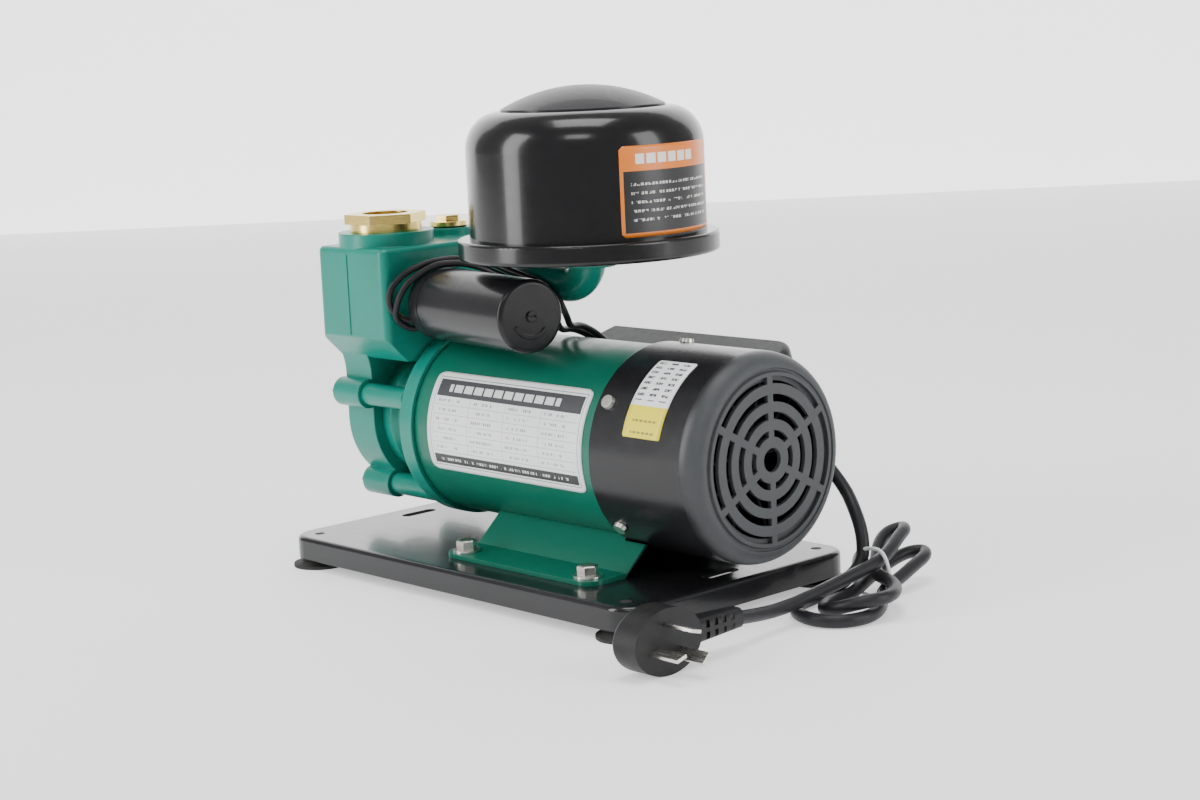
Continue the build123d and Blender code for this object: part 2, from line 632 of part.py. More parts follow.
    # bolt holes through the ears
    with BuildSketch(across(HEAD_FRONT)):
        with Locations(*[polar(PILLAR_CIRCLE, angle) for angle in EAR_ANGLES]):
            Circle(M6_RADIUS + 0.3)
    extrude(amount=CASING_BACK - HEAD_FRONT, mode=Mode.SUBTRACT)
save(pump_casing.part, "pump_casing")


with BuildPart() as casing_o_ring:
    with BuildSketch(MOTOR_SIDE):
        with Locations((CASING_BACK + GROOVE_DEPTH / 2, GROOVE_MIDDLE)):
            Circle(GROOVE_DEPTH / 2)
    revolve(axis=MOTOR_AXIS)
save(casing_o_ring.part, "casing_o_ring")

EAR_FRONT = HEAD_FRONT + 1.5
with BuildPart() as casing_bolts:
    ear_points = [polar(PILLAR_CIRCLE, angle) for angle in EAR_ANGLES]
    with BuildSketch(across(EAR_FRONT - 4.6)):
        with Locations(*ear_points):
            RegularPolygon(5.0, 6, major_radius=False)
    extrude(amount=4.6)
    with BuildSketch(across(EAR_FRONT)):
        with Locations(*ear_points):
            Circle(M6_RADIUS)
    extrude(amount=CASING_BACK - EAR_FRONT + 17)
save(casing_bolts.part, "casing_bolts")

# Peripheral impeller: a disc with a row of short blades cut into each side of
# its rim, driven by a key
BLADE_COUNT = 36
BLADE_DEPTH = 4.6
with BuildPart() as impeller:
    with BuildSketch(across(IMPELLER_FRONT)):
        Circle(IMPELLER_RADIUS)
        Circle(JOURNAL_RADIUS, mode=Mode.SUBTRACT)
        with Locations((0, JOURNAL_RADIUS)):
            Rectangle(KEY_WIDTH, 4.0, mode=Mode.SUBTRACT)
    extrude(amount=IMPELLER_WIDTH)
    for face_x, depth in ((IMPELLER_FRONT, BLADE_DEPTH), (IMPELLER_BACK, -BLADE_DEPTH)):
        with BuildSketch(across(face_x)):
            with PolarLocations(IMPELLER_RADIUS - 2.5, BLADE_COUNT):
                Rectangle(6.0, 3.0)
        extrude(amount=depth, mode=Mode.SUBTRACT)
save(impeller.part, "impeller")

with BuildPart() as impeller_key:
    with BuildSketch(across(IMPELLER_FRONT + 1)):
        with Locations((0, JOURNAL_RADIUS)):
            Rectangle(KEY_WIDTH, 4.0)
    extrude(amount=IMPELLER_WIDTH - 2)
save(impeller_key.part, "impeller_key")

# Brass bushes: hexagon, round collar and a threaded neck, with a clear bore
HEX_HEIGHT = 5.5
COLLAR_HEIGHT = 4.8
COLLAR_RADIUS = 20.6


def bush(seat):
    """Brass bush on a plane that faces out of its port."""
    with BuildPart() as piece:
        with BuildSketch(seat):
            Circle(COLLAR_RADIUS)
        extrude(amount=COLLAR_HEIGHT)
        with BuildSketch(seat.offset(COLLAR_HEIGHT)):
            RegularPolygon(HEXAGON / 2, 6, major_radius=False)
        extrude(amount=HEX_HEIGHT)
        with BuildSketch(seat):
            Circle(BUSH_THREAD)
        extrude(amount=-THREAD_LENGTH)
        with BuildSketch(seat.offset(COLLAR_HEIGHT + HEX_HEIGHT)):
            Circle(BUSH_BORE)
        extrude(amount=-(COLLAR_HEIGHT + HEX_HEIGHT + THREAD_LENGTH), mode=Mode.SUBTRACT)
    return piece.part


outlet_bush = bush(level(BOSS_TOP, OUTLET_X, OUTLET_Y))
save(outlet_bush, "outlet_bush")
inlet_seat = Plane(origin=(INLET_BOSS_X, INLET_Y, INLET_Z), x_dir=(0, 0, 1), z_dir=(-1, 0, 0))
inlet_bush = bush(inlet_seat)
save(inlet_bush, "inlet_bush")

# Check valve behind the inlet bush: a flap that hangs from a pin between two lugs
SEAT_X = INLET_BOSS_X + THREAD_LENGTH
PIN_Z = INLET_Z + 18.0
PIN_X = SEAT_X + 4.2
PIN_RADIUS = 1.4
FLAP_RADIUS = 14.6
pin_plane = Plane(origin=(PIN_X, INLET_Y, PIN_Z), x_dir=(1, 0, 0), z_dir=(0, 1, 0))
with BuildPart() as check_valve_bracket:
    for side in (-1, 1):
        with BuildSketch(pin_plane.offset(side * 11.0)):
            Circle(3.4)
            with Locations((-(PIN_X - HEAD_FRONT - HEAD_WALL) / 2, 0)):
                Rectangle(PIN_X - HEAD_FRONT - HEAD_WALL, 6.8)
            Circle(PIN_RADIUS, mode=Mode.SUBTRACT)
        extrude(amount=1.2, both=True)
    with BuildSketch(Plane(origin=(HEAD_FRONT + HEAD_WALL, 0, 0), x_dir=(0, 1, 0), z_dir=(1, 0, 0))):
        with Locations((INLET_Y, PIN_Z + 2.4)):
            Rectangle(24.4, 5.2)
    extrude(amount=1.2)
save(check_valve_bracket.part, "check_valve_bracket")

with BuildPart() as check_valve_pin:
    with BuildSketch(pin_plane.offset(-13.0)):
        Circle(PIN_RADIUS)
    extrude(amount=26.0)
save(check_valve_pin.part, "check_valve_pin")

with BuildPart() as check_valve_flap:
    with BuildSketch(Plane(origin=(SEAT_X + 0.35, INLET_Y, INLET_Z), x_dir=(0, 1, 0), z_dir=(1, 0, 0))):
        Circle(FLAP_RADIUS)
        with Locations((0, 10.0)):
            Rectangle(13.0, 12.0)
    extrude(amount=3.2)
    with BuildSketch(pin_plane.offset(-8.0)):
        Circle(3.2)
    extrude(amount=16.0)
    with BuildSketch(pin_plane.offset(-8.0)):
        Circle(PIN_RADIUS + 0.06)
    extrude(amount=16.0, mode=Mode.SUBTRACT)
save(check_valve_flap.part, "check_valve_flap")

# Priming plug: hexagon, round flange and threaded neck, on a sealing washer
WASHER_TOP = PLUG_BOSS_TOP + 1.0
with BuildPart() as priming_washer:
    with BuildSketch(level(PLUG_BOSS_TOP, PLUG_X, PLUG_Y)):
        Circle(10.6)
        Circle(PLUG_THREAD + 0.3, mode=Mode.SUBTRACT)
    extrude(amount=1.0)
save(priming_washer.part, "priming_washer")

with BuildPart() as priming_plug:
    plug_seat = level(WASHER_TOP, PLUG_X, PLUG_Y)
    with BuildSketch(plug_seat):
        Circle(11.2)
    extrude(amount=2.6)
    with BuildSketch(plug_seat.offset(2.6)):
        RegularPolygon(6.5, 6, major_radius=False, rotation=12)
    extrude(amount=3.6)
    with BuildSketch(plug_seat):
        Circle(PLUG_THREAD)
    extrude(amount=-10.5)
save(priming_plug.part, "priming_plug")

# ---------------------------------------------------------------------------
# Elbow arm and pressure tank
# ---------------------------------------------------------------------------

ELBOW_BEND = 18.0
elbow_start = (HEAD_BACK, TANK_Y, ELBOW_Z)
elbow_turn = (TANK_X, TANK_Y, ELBOW_Z)
elbow_end = (TANK_X, TANK_Y, TANK_BOTTOM)
with BuildPart() as tank_elbow:
    with BuildLine():
        FilletPolyline(elbow_start, elbow_turn, elbow_end, radius=ELBOW_BEND - 0.05)
    with BuildSketch(Plane(origin=elbow_start, x_dir=(0, 1, 0), z_dir=(1, 0, 0))):
        Circle(ELBOW_RADIUS)
    sweep()
    with BuildSketch(Plane(origin=elbow_start, x_dir=(0, 1, 0), z_dir=(1, 0, 0))):
        Circle(13.0)
    extrude(amount=5.0)
    with BuildSketch(Plane(origin=elbow_start, x_dir=(0, 1, 0), z_dir=(1, 0, 0))):
        Circle(ELBOW_RADIUS - 2.0)
    extrude(amount=-HEAD_WALL)
    with BuildSketch(level(TANK_BOTTOM - 7, TANK_X, TANK_Y)):
        Circle(14.0)
    extrude(amount=7.0)
    with BuildSketch(level(TANK_BOTTOM, TANK_X, TANK_Y)):
        Circle(7.0)
    extrude(amount=12.0)
    with BuildLine():
        Polyline((HEAD_BACK - HEAD_WALL, TANK_Y, ELBOW_Z), elbow_start)
        FilletPolyline(elbow_start, elbow_turn, (TANK_X, TANK_Y, TANK_BOTTOM + 12),
                       radius=ELBOW_BEND - 0.05)
    with BuildSketch(Plane(origin=(HEAD_BACK - HEAD_WALL, TANK_Y, ELBOW_Z), x_dir=(0, 1, 0),
                           z_dir=(1, 0, 0))):
        Circle(4.5)
    sweep(mode=Mode.SUBTRACT)
save(tank_elbow.part, "tank_elbow")

TANK_SHEET = 1.6
RIM_TOP = TANK_BOTTOM + 11.0
with BuildPart() as tank_base:
    with BuildSketch(TANK_SIDE):
        with BuildLine():
            Polyline((7.0, TANK_BOTTOM), (TANK_FLANGE_RADIUS - 2.0, TANK_BOTTOM))
            JernArc((TANK_FLANGE_RADIUS - 2.0, TANK_BOTTOM), (1, 0), 2.0, 90)
            Line((TANK_FLANGE_RADIUS, TANK_BOTTOM + 2.0), (TANK_FLANGE_RADIUS, RIM_TOP - 1.5))
            JernArc((TANK_FLANGE_RADIUS, RIM_TOP - 1.5), (0, 1), 1.5, 90)
            Polyline((TANK_FLANGE_RADIUS - 1.5, RIM_TOP), (TANK_RADIUS, RIM_TOP),
                     (TANK_RADIUS, RIM_TOP - TANK_SHEET),
                     (TANK_FLANGE_RADIUS - TANK_SHEET, RIM_TOP - TANK_SHEET),
                     (TANK_FLANGE_RADIUS - TANK_SHEET, TANK_BOTTOM + TANK_SHEET),
                     (7.0, TANK_BOTTOM + TANK_SHEET), (7.0, TANK_BOTTOM))
        make_face()
    revolve(axis=TANK_AXIS)
save(tank_base.part, "tank_base")

SHOULDER_WIDTH = 19.0
SHOULDER_START = TANK_SHOULDER - 20.5
with BuildPart() as tank_shell:
    with BuildSketch(TANK_SIDE):
        with BuildLine():
            Line((TANK_RADIUS, TANK_BOTTOM + 3.0), (TANK_RADIUS, SHOULDER_START))
            EllipticalCenterArc((TANK_RADIUS - SHOULDER_WIDTH, SHOULDER_START), SHOULDER_WIDTH,
                                TANK_SHOULDER - SHOULDER_START, start_angle=0, arc_size=90)
            Polyline((TANK_RADIUS - SHOULDER_WIDTH, TANK_SHOULDER), (38.0, TANK_SHOULDER),
                     (38.0, TANK_SHOULDER - TANK_SHEET),
                     (TANK_RADIUS - SHOULDER_WIDTH, TANK_SHOULDER - TANK_SHEET))
            EllipticalCenterArc((TANK_RADIUS - SHOULDER_WIDTH, SHOULDER_START),
                                SHOULDER_WIDTH - TANK_SHEET, TANK_SHOULDER - SHOULDER_START - TANK_SHEET,
                                start_angle=0, arc_size=90)
            Polyline((TANK_RADIUS - TANK_SHEET, SHOULDER_START), (TANK_RADIUS - TANK_SHEET, TANK_BOTTOM + 3),
                     (TANK_RADIUS, TANK_BOTTOM + 3))
        make_face()
    revolve(axis=TANK_AXIS)
save(tank_shell.part, "tank_shell")

DOME_RISE = DOME_TOP - TANK_SHOULDER - 1.0
dome_sphere = (DOME_RADIUS ** 2 + DOME_RISE ** 2) / (2 * DOME_RISE)
with BuildPart() as tank_cap:
    with BuildSketch(TANK_SIDE):
        with BuildLine():
            Polyline((0, TANK_SHOULDER), (DOME_RADIUS, TANK_SHOULDER),
                     (DOME_RADIUS, TANK_SHOULDER + 1.0))
            RadiusArc((DOME_RADIUS, TANK_SHOULDER + 1.0), (0, DOME_TOP), -dome_sphere)
            Line((0, DOME_TOP), (0, TANK_SHOULDER))
        make_face()
    revolve(axis=TANK_AXIS)
    with BuildSketch(level(TANK_SHOULDER, TANK_X, TANK_Y)):
        Circle(37.8)
    extrude(amount=-3.0)
save(tank_cap.part, "tank_cap")

with BuildPart() as tank_bladder:
    with BuildSketch(TANK_SIDE):
        with BuildLine():
            Polyline((0, 222), (30, 219), (46, 206), (52, 186), (TANK_RADIUS - TANK_SHEET, 184),
                     (TANK_RADIUS - TANK_SHEET, 186.2), (54, 188), (48, 207.5), (31, 221.4), (0, 224.5),
                     (0, 222))
        make_face()
    revolve(axis=TANK_AXIS)
save(tank_bladder.part, "tank_bladder")

with BuildPart() as tank_nut:
    with BuildSketch(level(TANK_BOTTOM + TANK_SHEET, TANK_X, TANK_Y)):
        RegularPolygon(11.0, 6, major_radius=False)
        Circle(7.0, mode=Mode.SUBTRACT)
    extrude(amount=6.0)
save(tank_nut.part, "tank_nut")

# ---------------------------------------------------------------------------
# Pressure switch: screwed into the head by a brass nipple, pointing forward
# and turned a little to the near side
# ---------------------------------------------------------------------------

switch_way = (cos(radians(SWITCH_TURN)), -sin(radians(SWITCH_TURN)), 0)
SWITCH_BASE_START = 12.0
SWITCH_BASE_END = 24.0
SWITCH_SHEET = 2.2


def switch_plane(distance):
    """Plane across the switch axis, this far from the head's face."""
    origin = (HEAD_BACK + distance * switch_way[0], SWITCH_Y + distance * switch_way[1], SWITCH_Z)
    return Plane(origin=origin, x_dir=(-switch_way[1], switch_way[0], 0), z_dir=switch_way)


SWITCH_SIDE = Plane(origin=(HEAD_BACK, SWITCH_Y, SWITCH_Z), x_dir=switch_way,
                    z_dir=(switch_way[1], -switch_way[0], 0))
SWITCH_AXIS = Axis((HEAD_BACK, SWITCH_Y, SWITCH_Z), switch_way)

with BuildPart() as switch_nipple:
    with BuildSketch(switch_plane(1.2)):
        Circle(6.4)
    extrude(amount=13.8)
    with BuildSketch(Plane(origin=(HEAD_BACK - HEAD_WALL, SWITCH_Y, SWITCH_Z), x_dir=(0, 1, 0),
                           z_dir=(1, 0, 0))):
        Circle(6.4)
    extrude(amount=HEAD_WALL + 1.3)
    with BuildSketch(switch_plane(3.0)):
        RegularPolygon(8.5, 6, major_radius=False)
    extrude(amount=6.0)
    with BuildSketch(switch_plane(-8.0)):
        Circle(2.2)
    extrude(amount=25.0, mode=Mode.SUBTRACT)
save(switch_nipple.part, "switch_nipple")

with BuildPart() as switch_base:
    with BuildSketch(SWITCH_SIDE):
        with BuildLine():
            Polyline((SWITCH_BASE_START, 6.4), (SWITCH_BASE_START, SWITCH_RADIUS - 3.0))
            RadiusArc((SWITCH_BASE_START, SWITCH_RADIUS - 3.0),
                      (SWITCH_BASE_START + 3.0, SWITCH_RADIUS), 3.0)
            Polyline((SWITCH_BASE_START + 3.0, SWITCH_RADIUS), (SWITCH_BASE_END - 0.6, SWITCH_RADIUS),
                     (SWITCH_BASE_END - 0.6, SWITCH_RADIUS - 1.0),
                     (SWITCH_BASE_END, SWITCH_RADIUS - 1.0), (SWITCH_BASE_END, 16.0), (18.0, 16.0),
                     (18.0, 6.4), (SWITCH_BASE_START, 6.4))
        make_face()
    revolve(axis=SWITCH_AXIS)
save(switch_base.part, "switch_base")

with BuildPart() as switch_housing:
    with BuildSketch(SWITCH_SIDE):
        with BuildLine():
            Polyline((SWITCH_BASE_END, SWITCH_RADIUS - 2.6), (SWITCH_BASE_END, SWITCH_RADIUS - 0.2),
                     (SWITCH_LENGTH - 2.5, SWITCH_CAP_RADIUS))
            RadiusArc((SWITCH_LENGTH - 2.5, SWITCH_CAP_RADIUS),
                      (SWITCH_LENGTH, SWITCH_CAP_RADIUS - 2.5), 2.5)
            Polyline((SWITCH_LENGTH, SWITCH_CAP_RADIUS - 2.5), (SWITCH_LENGTH, 1.8),
                     (SWITCH_LENGTH - SWITCH_SHEET, 1.8),
                     (SWITCH_LENGTH - SWITCH_SHEET, SWITCH_CAP_RADIUS - 2.8),
                     (SWITCH_BASE_END, SWITCH_RADIUS - 2.6))
        make_face()
    revolve(axis=SWITCH_AXIS)
    # raised curved pointer below the centre screw
    with BuildSketch(switch_plane(SWITCH_LENGTH)):
        with BuildLine():
            CenterArc((0, 0), 11.0, 205, 115)
        trace(line_width=2.2)
    extrude(amount=0.9)
save(switch_housing.part, "switch_housing")

SCREW_END = 82.0
with BuildPart() as switch_screw:
    with BuildSketch(switch_plane(SWITCH_LENGTH)):
        Circle(3.0)
    extrude(amount=1.2)
    with BuildSketch(switch_plane(SWITCH_LENGTH)):
        Circle(1.8)
    extrude(amount=-(SWITCH_LENGTH - SCREW_END - 2))
    with BuildSketch(switch_plane(SWITCH_LENGTH + 1.2)):
        Rectangle(4.6, 0.9)
    extrude(amount=-0.7, mode=Mode.SUBTRACT)
    with BuildSketch(switch_plane(SCREW_END)):
        Circle(6.5)
    extrude(amount=2.0)
save(switch_screw.part, "switch_screw")

with BuildPart() as switch_diaphragm:
    with BuildSketch(SWITCH_SIDE):
        span(18.0, 19.6, 0.0, 16.0)
    revolve(axis=SWITCH_AXIS)
save(switch_diaphragm.part, "switch_diaphragm")

with BuildPart() as switch_guide:
    with BuildSketch(SWITCH_SIDE):
        span(30.0, 34.0, 4.1, 18.2)
        span(34.0, 46.0, 4.1, 6.5)
    revolve(axis=SWITCH_AXIS)
    # two contact towers on the guide's plate
    with BuildSketch(switch_plane(34.0)):
        with Locations((-13.0, 0), (13.0, 0)):
            Rectangle(4.0, 11.0)
    extrude(amount=24.0)
save(switch_guide.part, "switch_guide")

with BuildPart() as switch_plunger:
    with BuildSketch(SWITCH_SIDE):
        span(20.0, 23.0, 0.0, 11.0)
        span(23.0, 50.0, 0.0, 4.0)
        span(50.0, 53.6, 0.0, 8.0)
    revolve(axis=SWITCH_AXIS)
save(switch_plunger.part, "switch_plunger")

# ---------------------------------------------------------------------------
# Terminal and capacitor box: on the far shoulder of the motor, turned outward
# ---------------------------------------------------------------------------

BOX_TILT = 70.0
BOX_START = -22.0
BOX_END = 124.0
BOX_LID = 74.9
BOX_SPLIT = 70.5
BOX_UP = 27.4
BOX_DOWN = 25.0
BOX_WALL = 2.4
BOX_CORNER = 16.0
BOX_EDGE = 3.5
outward = (0, sin(radians(BOX_TILT)), cos(radians(BOX_TILT)))
upward = (0, -cos(radians(BOX_TILT)), sin(radians(BOX_TILT)))


def from_motor(x, out, up):
    """Point given by its place along the motor, out of the box's lid and up its face."""
    return (x, AXIS_Y + out * outward[1] + up * upward[1], AXIS_Z + out * outward[2] + up * upward[2])


GLAND_SEAT = from_motor(113.0, 63.0, -14.0)
gland_way = (sqrt(0.5), 0, -sqrt(0.5))
gland_plane = Plane(origin=GLAND_SEAT, x_dir=(0, 1, 0), z_dir=gland_way)


def box_block(inset):
    """Solid block of the terminal box, drawn in on every side, with its gland corner cut off."""
    start, end, lid = BOX_START + inset, BOX_END - inset, BOX_LID - inset
    corner = BOX_CORNER - inset
    with BuildPart() as block:
        with BuildSketch(Plane(origin=from_motor(0, 0, inset - BOX_DOWN), x_dir=(1, 0, 0), z_dir=upward)):
            with BuildLine():
                Polyline((end, lid - corner), (end, 36.0), (start, 36.0), (start, 55.0),
                         (start + 5.0, lid), (end - corner, lid))
                CenterArc((end - corner, lid - corner), corner, 0, 90)
            make_face()
        extrude(amount=BOX_DOWN + BOX_UP - 2 * inset)
        long_edges = block.edges().filter_by(Axis.X).sort_by(Axis(from_motor(0, 0, 0), outward))
        fillet(long_edges[-2:], BOX_EDGE - 0.5 * inset)
        split(bisect_by=gland_plane.offset(-inset), keep=Keep.BOTTOM)
    return block.part


with BuildPart() as motor_clearance:
    with BuildSketch(across(BOX_START - 1)):
        Circle(TUBE_RADIUS)
    extrude(amount=COVER_START - 0.5 - BOX_START + 1)
    with BuildSketch(across(COVER_START - 0.5)):
        Circle(COVER_RADIUS + 0.5)
    extrude(amount=BOX_END - COVER_START + 1)

with BuildPart() as box_cavity:
    add(box_block(BOX_WALL))
    with BuildSketch(across(BOX_START - 1)):
        Circle(TUBE_RADIUS + BOX_WALL)
    extrude(amount=COVER_START - 2.9 - BOX_START + 1, mode=Mode.SUBTRACT)
    with BuildSketch(across(COVER_START - 2.9)):
        Circle(COVER_RADIUS + 0.5 + BOX_WALL)
    extrude(amount=BOX_END - COVER_START + 4, mode=Mode.SUBTRACT)

lid_plane = Plane(origin=from_motor(0, BOX_SPLIT, 0), x_dir=(1, 0, 0), z_dir=outward)
# the lid plane's own y runs down the box face
SCREW_PLACES = [(-10.0, -19.0), (100.0, -19.0), (-10.0, 15.0), (92.0, 15.0)]
POST_DEPTH = 18.5
with BuildPart() as terminal_box:
    add(box_block(0.0))
    add(box_cavity.part, mode=Mode.SUBTRACT)
    with BuildSketch(lid_plane.offset(-POST_DEPTH)):
        with Locations(*SCREW_PLACES):
            Circle(4.2)
    extrude(amount=POST_DEPTH)
    with BuildSketch(lid_plane.offset(-POST_DEPTH)):
        with Locations(*SCREW_PLACES):
            Circle(1.7)
    extrude(amount=POST_DEPTH, mode=Mode.SUBTRACT)
    split(bisect_by=lid_plane, keep=Keep.BOTTOM)
    add(motor_clearance.part, mode=Mode.SUBTRACT)
    with BuildSketch(gland_plane):
        Circle(6.2)
    extrude(amount=-6.0, mode=Mode.SUBTRACT)
save(terminal_box.part, "terminal_box")

with BuildPart() as terminal_box_lid:
    add(box_block(0.0))
    add(box_cavity.part, mode=Mode.SUBTRACT)
    split(bisect_by=lid_plane, keep=Keep.TOP)
    with BuildSketch(lid_plane):
        with Locations(*SCREW_PLACES):
            Circle(1.7)
    extrude(amount=6.0, mode=Mode.SUBTRACT)
save(terminal_box_lid.part, "terminal_box_lid")

LID_RISE = BOX_LID - BOX_SPLIT
with BuildPart() as terminal_box_screws:
    with BuildSketch(lid_plane.offset(LID_RISE)):
        with Locations(*SCREW_PLACES):
            Circle(3.2)
    extrude(amount=1.4)
    with BuildSketch(lid_plane.offset(LID_RISE - 12.0)):
        with Locations(*SCREW_PLACES):
            Circle(1.6)
    extrude(amount=12.0)
    with BuildSketch(lid_plane.offset(LID_RISE + 1.4)):
        with Locations(*SCREW_PLACES):
            Rectangle(4.6, 0.8)
            Rectangle(0.8, 4.6)
    extrude(amount=-0.8, mode=Mode.SUBTRACT)
save(terminal_box_screws.part, "terminal_box_screws")

with BuildPart() as capacitor:
    with BuildSketch(Plane(origin=from_motor(12.0, 62.8, -2.0), x_dir=(0, 1, 0), z_dir=(1, 0, 0))):
        Circle(7.3)
    extrude(amount=56.0)
save(capacitor.part, "capacitor")

# Cord gland on the cut corner, with the tapered relief that the cord leaves through
GLAND_LENGTH = 26.0
with BuildPart() as cord_gland:
    with BuildSketch(gland_plane.offset(-5.0)):
        Circle(6.0)
    extrude(amount=5.0)
    with BuildSketch(gland_plane):
        RegularPolygon(7.8, 6, major_radius=False)
    extrude(amount=4.0)
    with BuildSketch(gland_plane.offset(4.0)):
        Circle(6.2)
    with BuildSketch(gland_plane.offset(GLAND_LENGTH)):
        Circle(4.5)
    loft()
    with BuildSketch(gland_plane.offset(-5.0)):
        Circle(CORD_RADIUS)
    extrude(amount=GLAND_LENGTH + 5.0, mode=Mode.SUBTRACT)
save(cord_gland.part, "cord_gland")

# ---------------------------------------------------------------------------
# Switch leads: two cords from the back of the switch, over it and down to the box
# ---------------------------------------------------------------------------

LEAD_RADIUS = 1.9
LEAD_ROUTES = {
    "outer": [(-71.4, -33.8, 142.0), (-76.5, -40.5, 142.5), (-78.2, -49.5, 150.0), (-76.5, -50.0, 161.0),
              (-72.0, -42.0, 170.0), (-64.5, -29.0, 175.5), (-53.0, -15.5, 176.5), (-36.0, -9.5, 174.0),
              (-17.0, -8.0, 169.0), (2.0, -6.0, 164.5), (14.0, -4.5, 157.0), (16.5, -1.0, 146.5),
              (9.0, 8.0, 138.8), (4.0, 20.5, 138.0), (2.5, 33.0, 132.0), (2.5, 45.5, 121.5)],
    "inner": [(-70.8, -30.4, 138.0), (-75.5, -37.5, 137.2), (-77.6, -46.5, 143.8), (-73.2, -47.2, 155.0),
              (-69.0, -42.5, 165.0), (-60.0, -30.5, 173.7), (-50.0, -20.5, 174.6), (-36.0, -13.2, 171.2),
              (-17.0, -11.5, 165.6), (2.0, -10.0, 160.3), (11.0, -8.5, 153.0), (12.0, -4.5, 144.0),
              (4.5, 5.0, 136.8), (-0.5, 18.0, 136.0), (-2.0, 31.0, 130.8), (-2.0, 45.5, 121.5)],
}


def corner_radii(points):
    """Bend radius at each inner point: as large as its two runs allow."""
    radii = []
    for before, here, after in zip(points, points[1:], points[2:]):
        run_in = Vector(*here) - Vector(*before)
        run_out = Vector(*after) - Vector(*here)
        turn = radians(run_in.get_angle(run_out))
        radii.append(0.45 * min(run_in.length, run_out.length) / tan(turn / 2))
    return radii


def tube(points, radius):
    """Round cord of straight runs and tangent arcs through the hand-chosen points."""
    radii = corner_radii(points)
    with BuildPart() as piece:
        with BuildLine() as path:
            FilletPolyline(*points, radius=radii)
        with BuildSketch(Plane(origin=path.wire() @ 0, z_dir=path.wire() % 0)):
            Circle(radius)
        sweep(path=path.wire())
    exact = pi * radius**2 * path.wire().length
    print("cord length", round(path.wire().length, 1), "least radius", round(min(radii), 1),
          "volume ratio", round(piece.part.volume / exact, 4))
    return piece.part


with BuildPart() as switch_leads:
    for points in LEAD_ROUTES.values():
        add(tube(points, LEAD_RADIUS))
    add(box_block(0.0), mode=Mode.SUBTRACT)
    add(switch_base.part, mode=Mode.SUBTRACT)
save(switch_leads.part, "switch_leads")

# ---------------------------------------------------------------------------
# Mains cord: from the gland down behind the fan cover, a tied hank, then the plug
# ---------------------------------------------------------------------------

CORD_START = tuple(GLAND_SEAT[i] + (GLAND_LENGTH - 2.0) * gland_way[i] for i in range(3))
CORD_DROP = [CORD_START, (146.5, 74.0, 56.0), (161.0, 67.5, 43.0), (168.5, 64.0, 31.5), (174.0, 61.0, 20.0)]
CORD_PLUG_RUN = [(181.0, 14.0, 12.4), (181.4, -7.0, 10.8), (183.4, -29.0, 11.4), (186.5, -50.0, 14.6)]

with BuildPart() as cord_hank:
    # flat loops on the near side of the tie
    with BuildSketch(level(0.0, 188.0, 22.0)):
        Ellipse(26.0, 25.0)
    extrude(amount=18.0)
    # the strands through the tie
    with BuildSketch(level(0.0, 176.0, 57.0)):
        Rectangle(22.0, 38.0)
    extrude(amount=29.0)
    # folded ends on the far side of the tie
    with BuildSketch(level(0.0, 169.0, 86.0)):
        Ellipse(11.0, 20.0)
    extrude(amount=33.0)
save(cord_hank.part, "cord_hank")

with BuildPart() as cord_drop:
    add(tube(CORD_DROP, CORD_RADIUS))
    add(cord_hank.part, mode=Mode.SUBTRACT)
    add(cord_gland.part, mode=Mode.SUBTRACT)
save(cord_drop.part, "cord_drop")

with BuildPart() as cord_plug_run:
    add(tube(CORD_PLUG_RUN, CORD_RADIUS))
    add(cord_hank.part, mode=Mode.SUBTRACT)
save(cord_plug_run.part, "cord_plug_run")

# Right-angle plug with three flat pins, standing on its rim
PLUG_BACK = 178.0
PLUG_FACE = 195.0
PLUG_CENTRE = (-106.0, 16.2)
RELIEF_END = -52.0
RELIEF_START = -87.0
with BuildPart() as plug_body:
    with BuildSketch(Plane(origin=(PLUG_BACK, *PLUG_CENTRE), x_dir=(0, 1, 0), z_dir=(1, 0, 0))):
        Ellipse(22.0, 16.2)
    extrude(amount=PLUG_FACE - PLUG_BACK)
    fillet(plug_body.edges().group_by(Axis.X)[0], 3.0)
    relief_way = Plane(origin=(186.5, RELIEF_START, 15.6), x_dir=(1, 0, 0), z_dir=(0, 1, 0))
    with BuildSketch(relief_way):
        RectangleRounded(14.0, 12.0, 3.0)
    with BuildSketch(relief_way.offset(RELIEF_END - RELIEF_START)):
        RectangleRounded(10.0, 10.0, 3.0)
    loft()
    for step in range(4):
        with BuildSketch(relief_way.offset(8.0 + 6.0 * step)):
            with Locations((8.2, 2.8), (8.2, -2.8), (-8.2, 2.8), (-8.2, -2.8)):
                Rectangle(6.4, 3.6)
        extrude(amount=2.6, mode=Mode.SUBTRACT)
    add(cord_plug_run.part, mode=Mode.SUBTRACT)
save(plug_body.part, "plug_body")

PIN_LENGTH = 18.0
PIN_PLACES = [((-9.5, -3.0), 15.0), ((0.5, 8.0), -15.0), ((6.5, -6.5), 45.0)]
with BuildPart() as plug_pins:
    for place, turn in PIN_PLACES:
        with BuildSketch(Plane(origin=(PLUG_FACE, *PLUG_CENTRE), x_dir=(0, 1, 0), z_dir=(1, 0, 0))):
            with Locations(place):
                Rectangle(6.4, 1.7, rotation=turn)
        extrude(amount=PIN_LENGTH)
save(plug_pins.part, "plug_pins")
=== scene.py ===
# Water pump with a pressure tank, seen in a photographer's studio.
import math

import bpy
from mathutils import Matrix, Vector


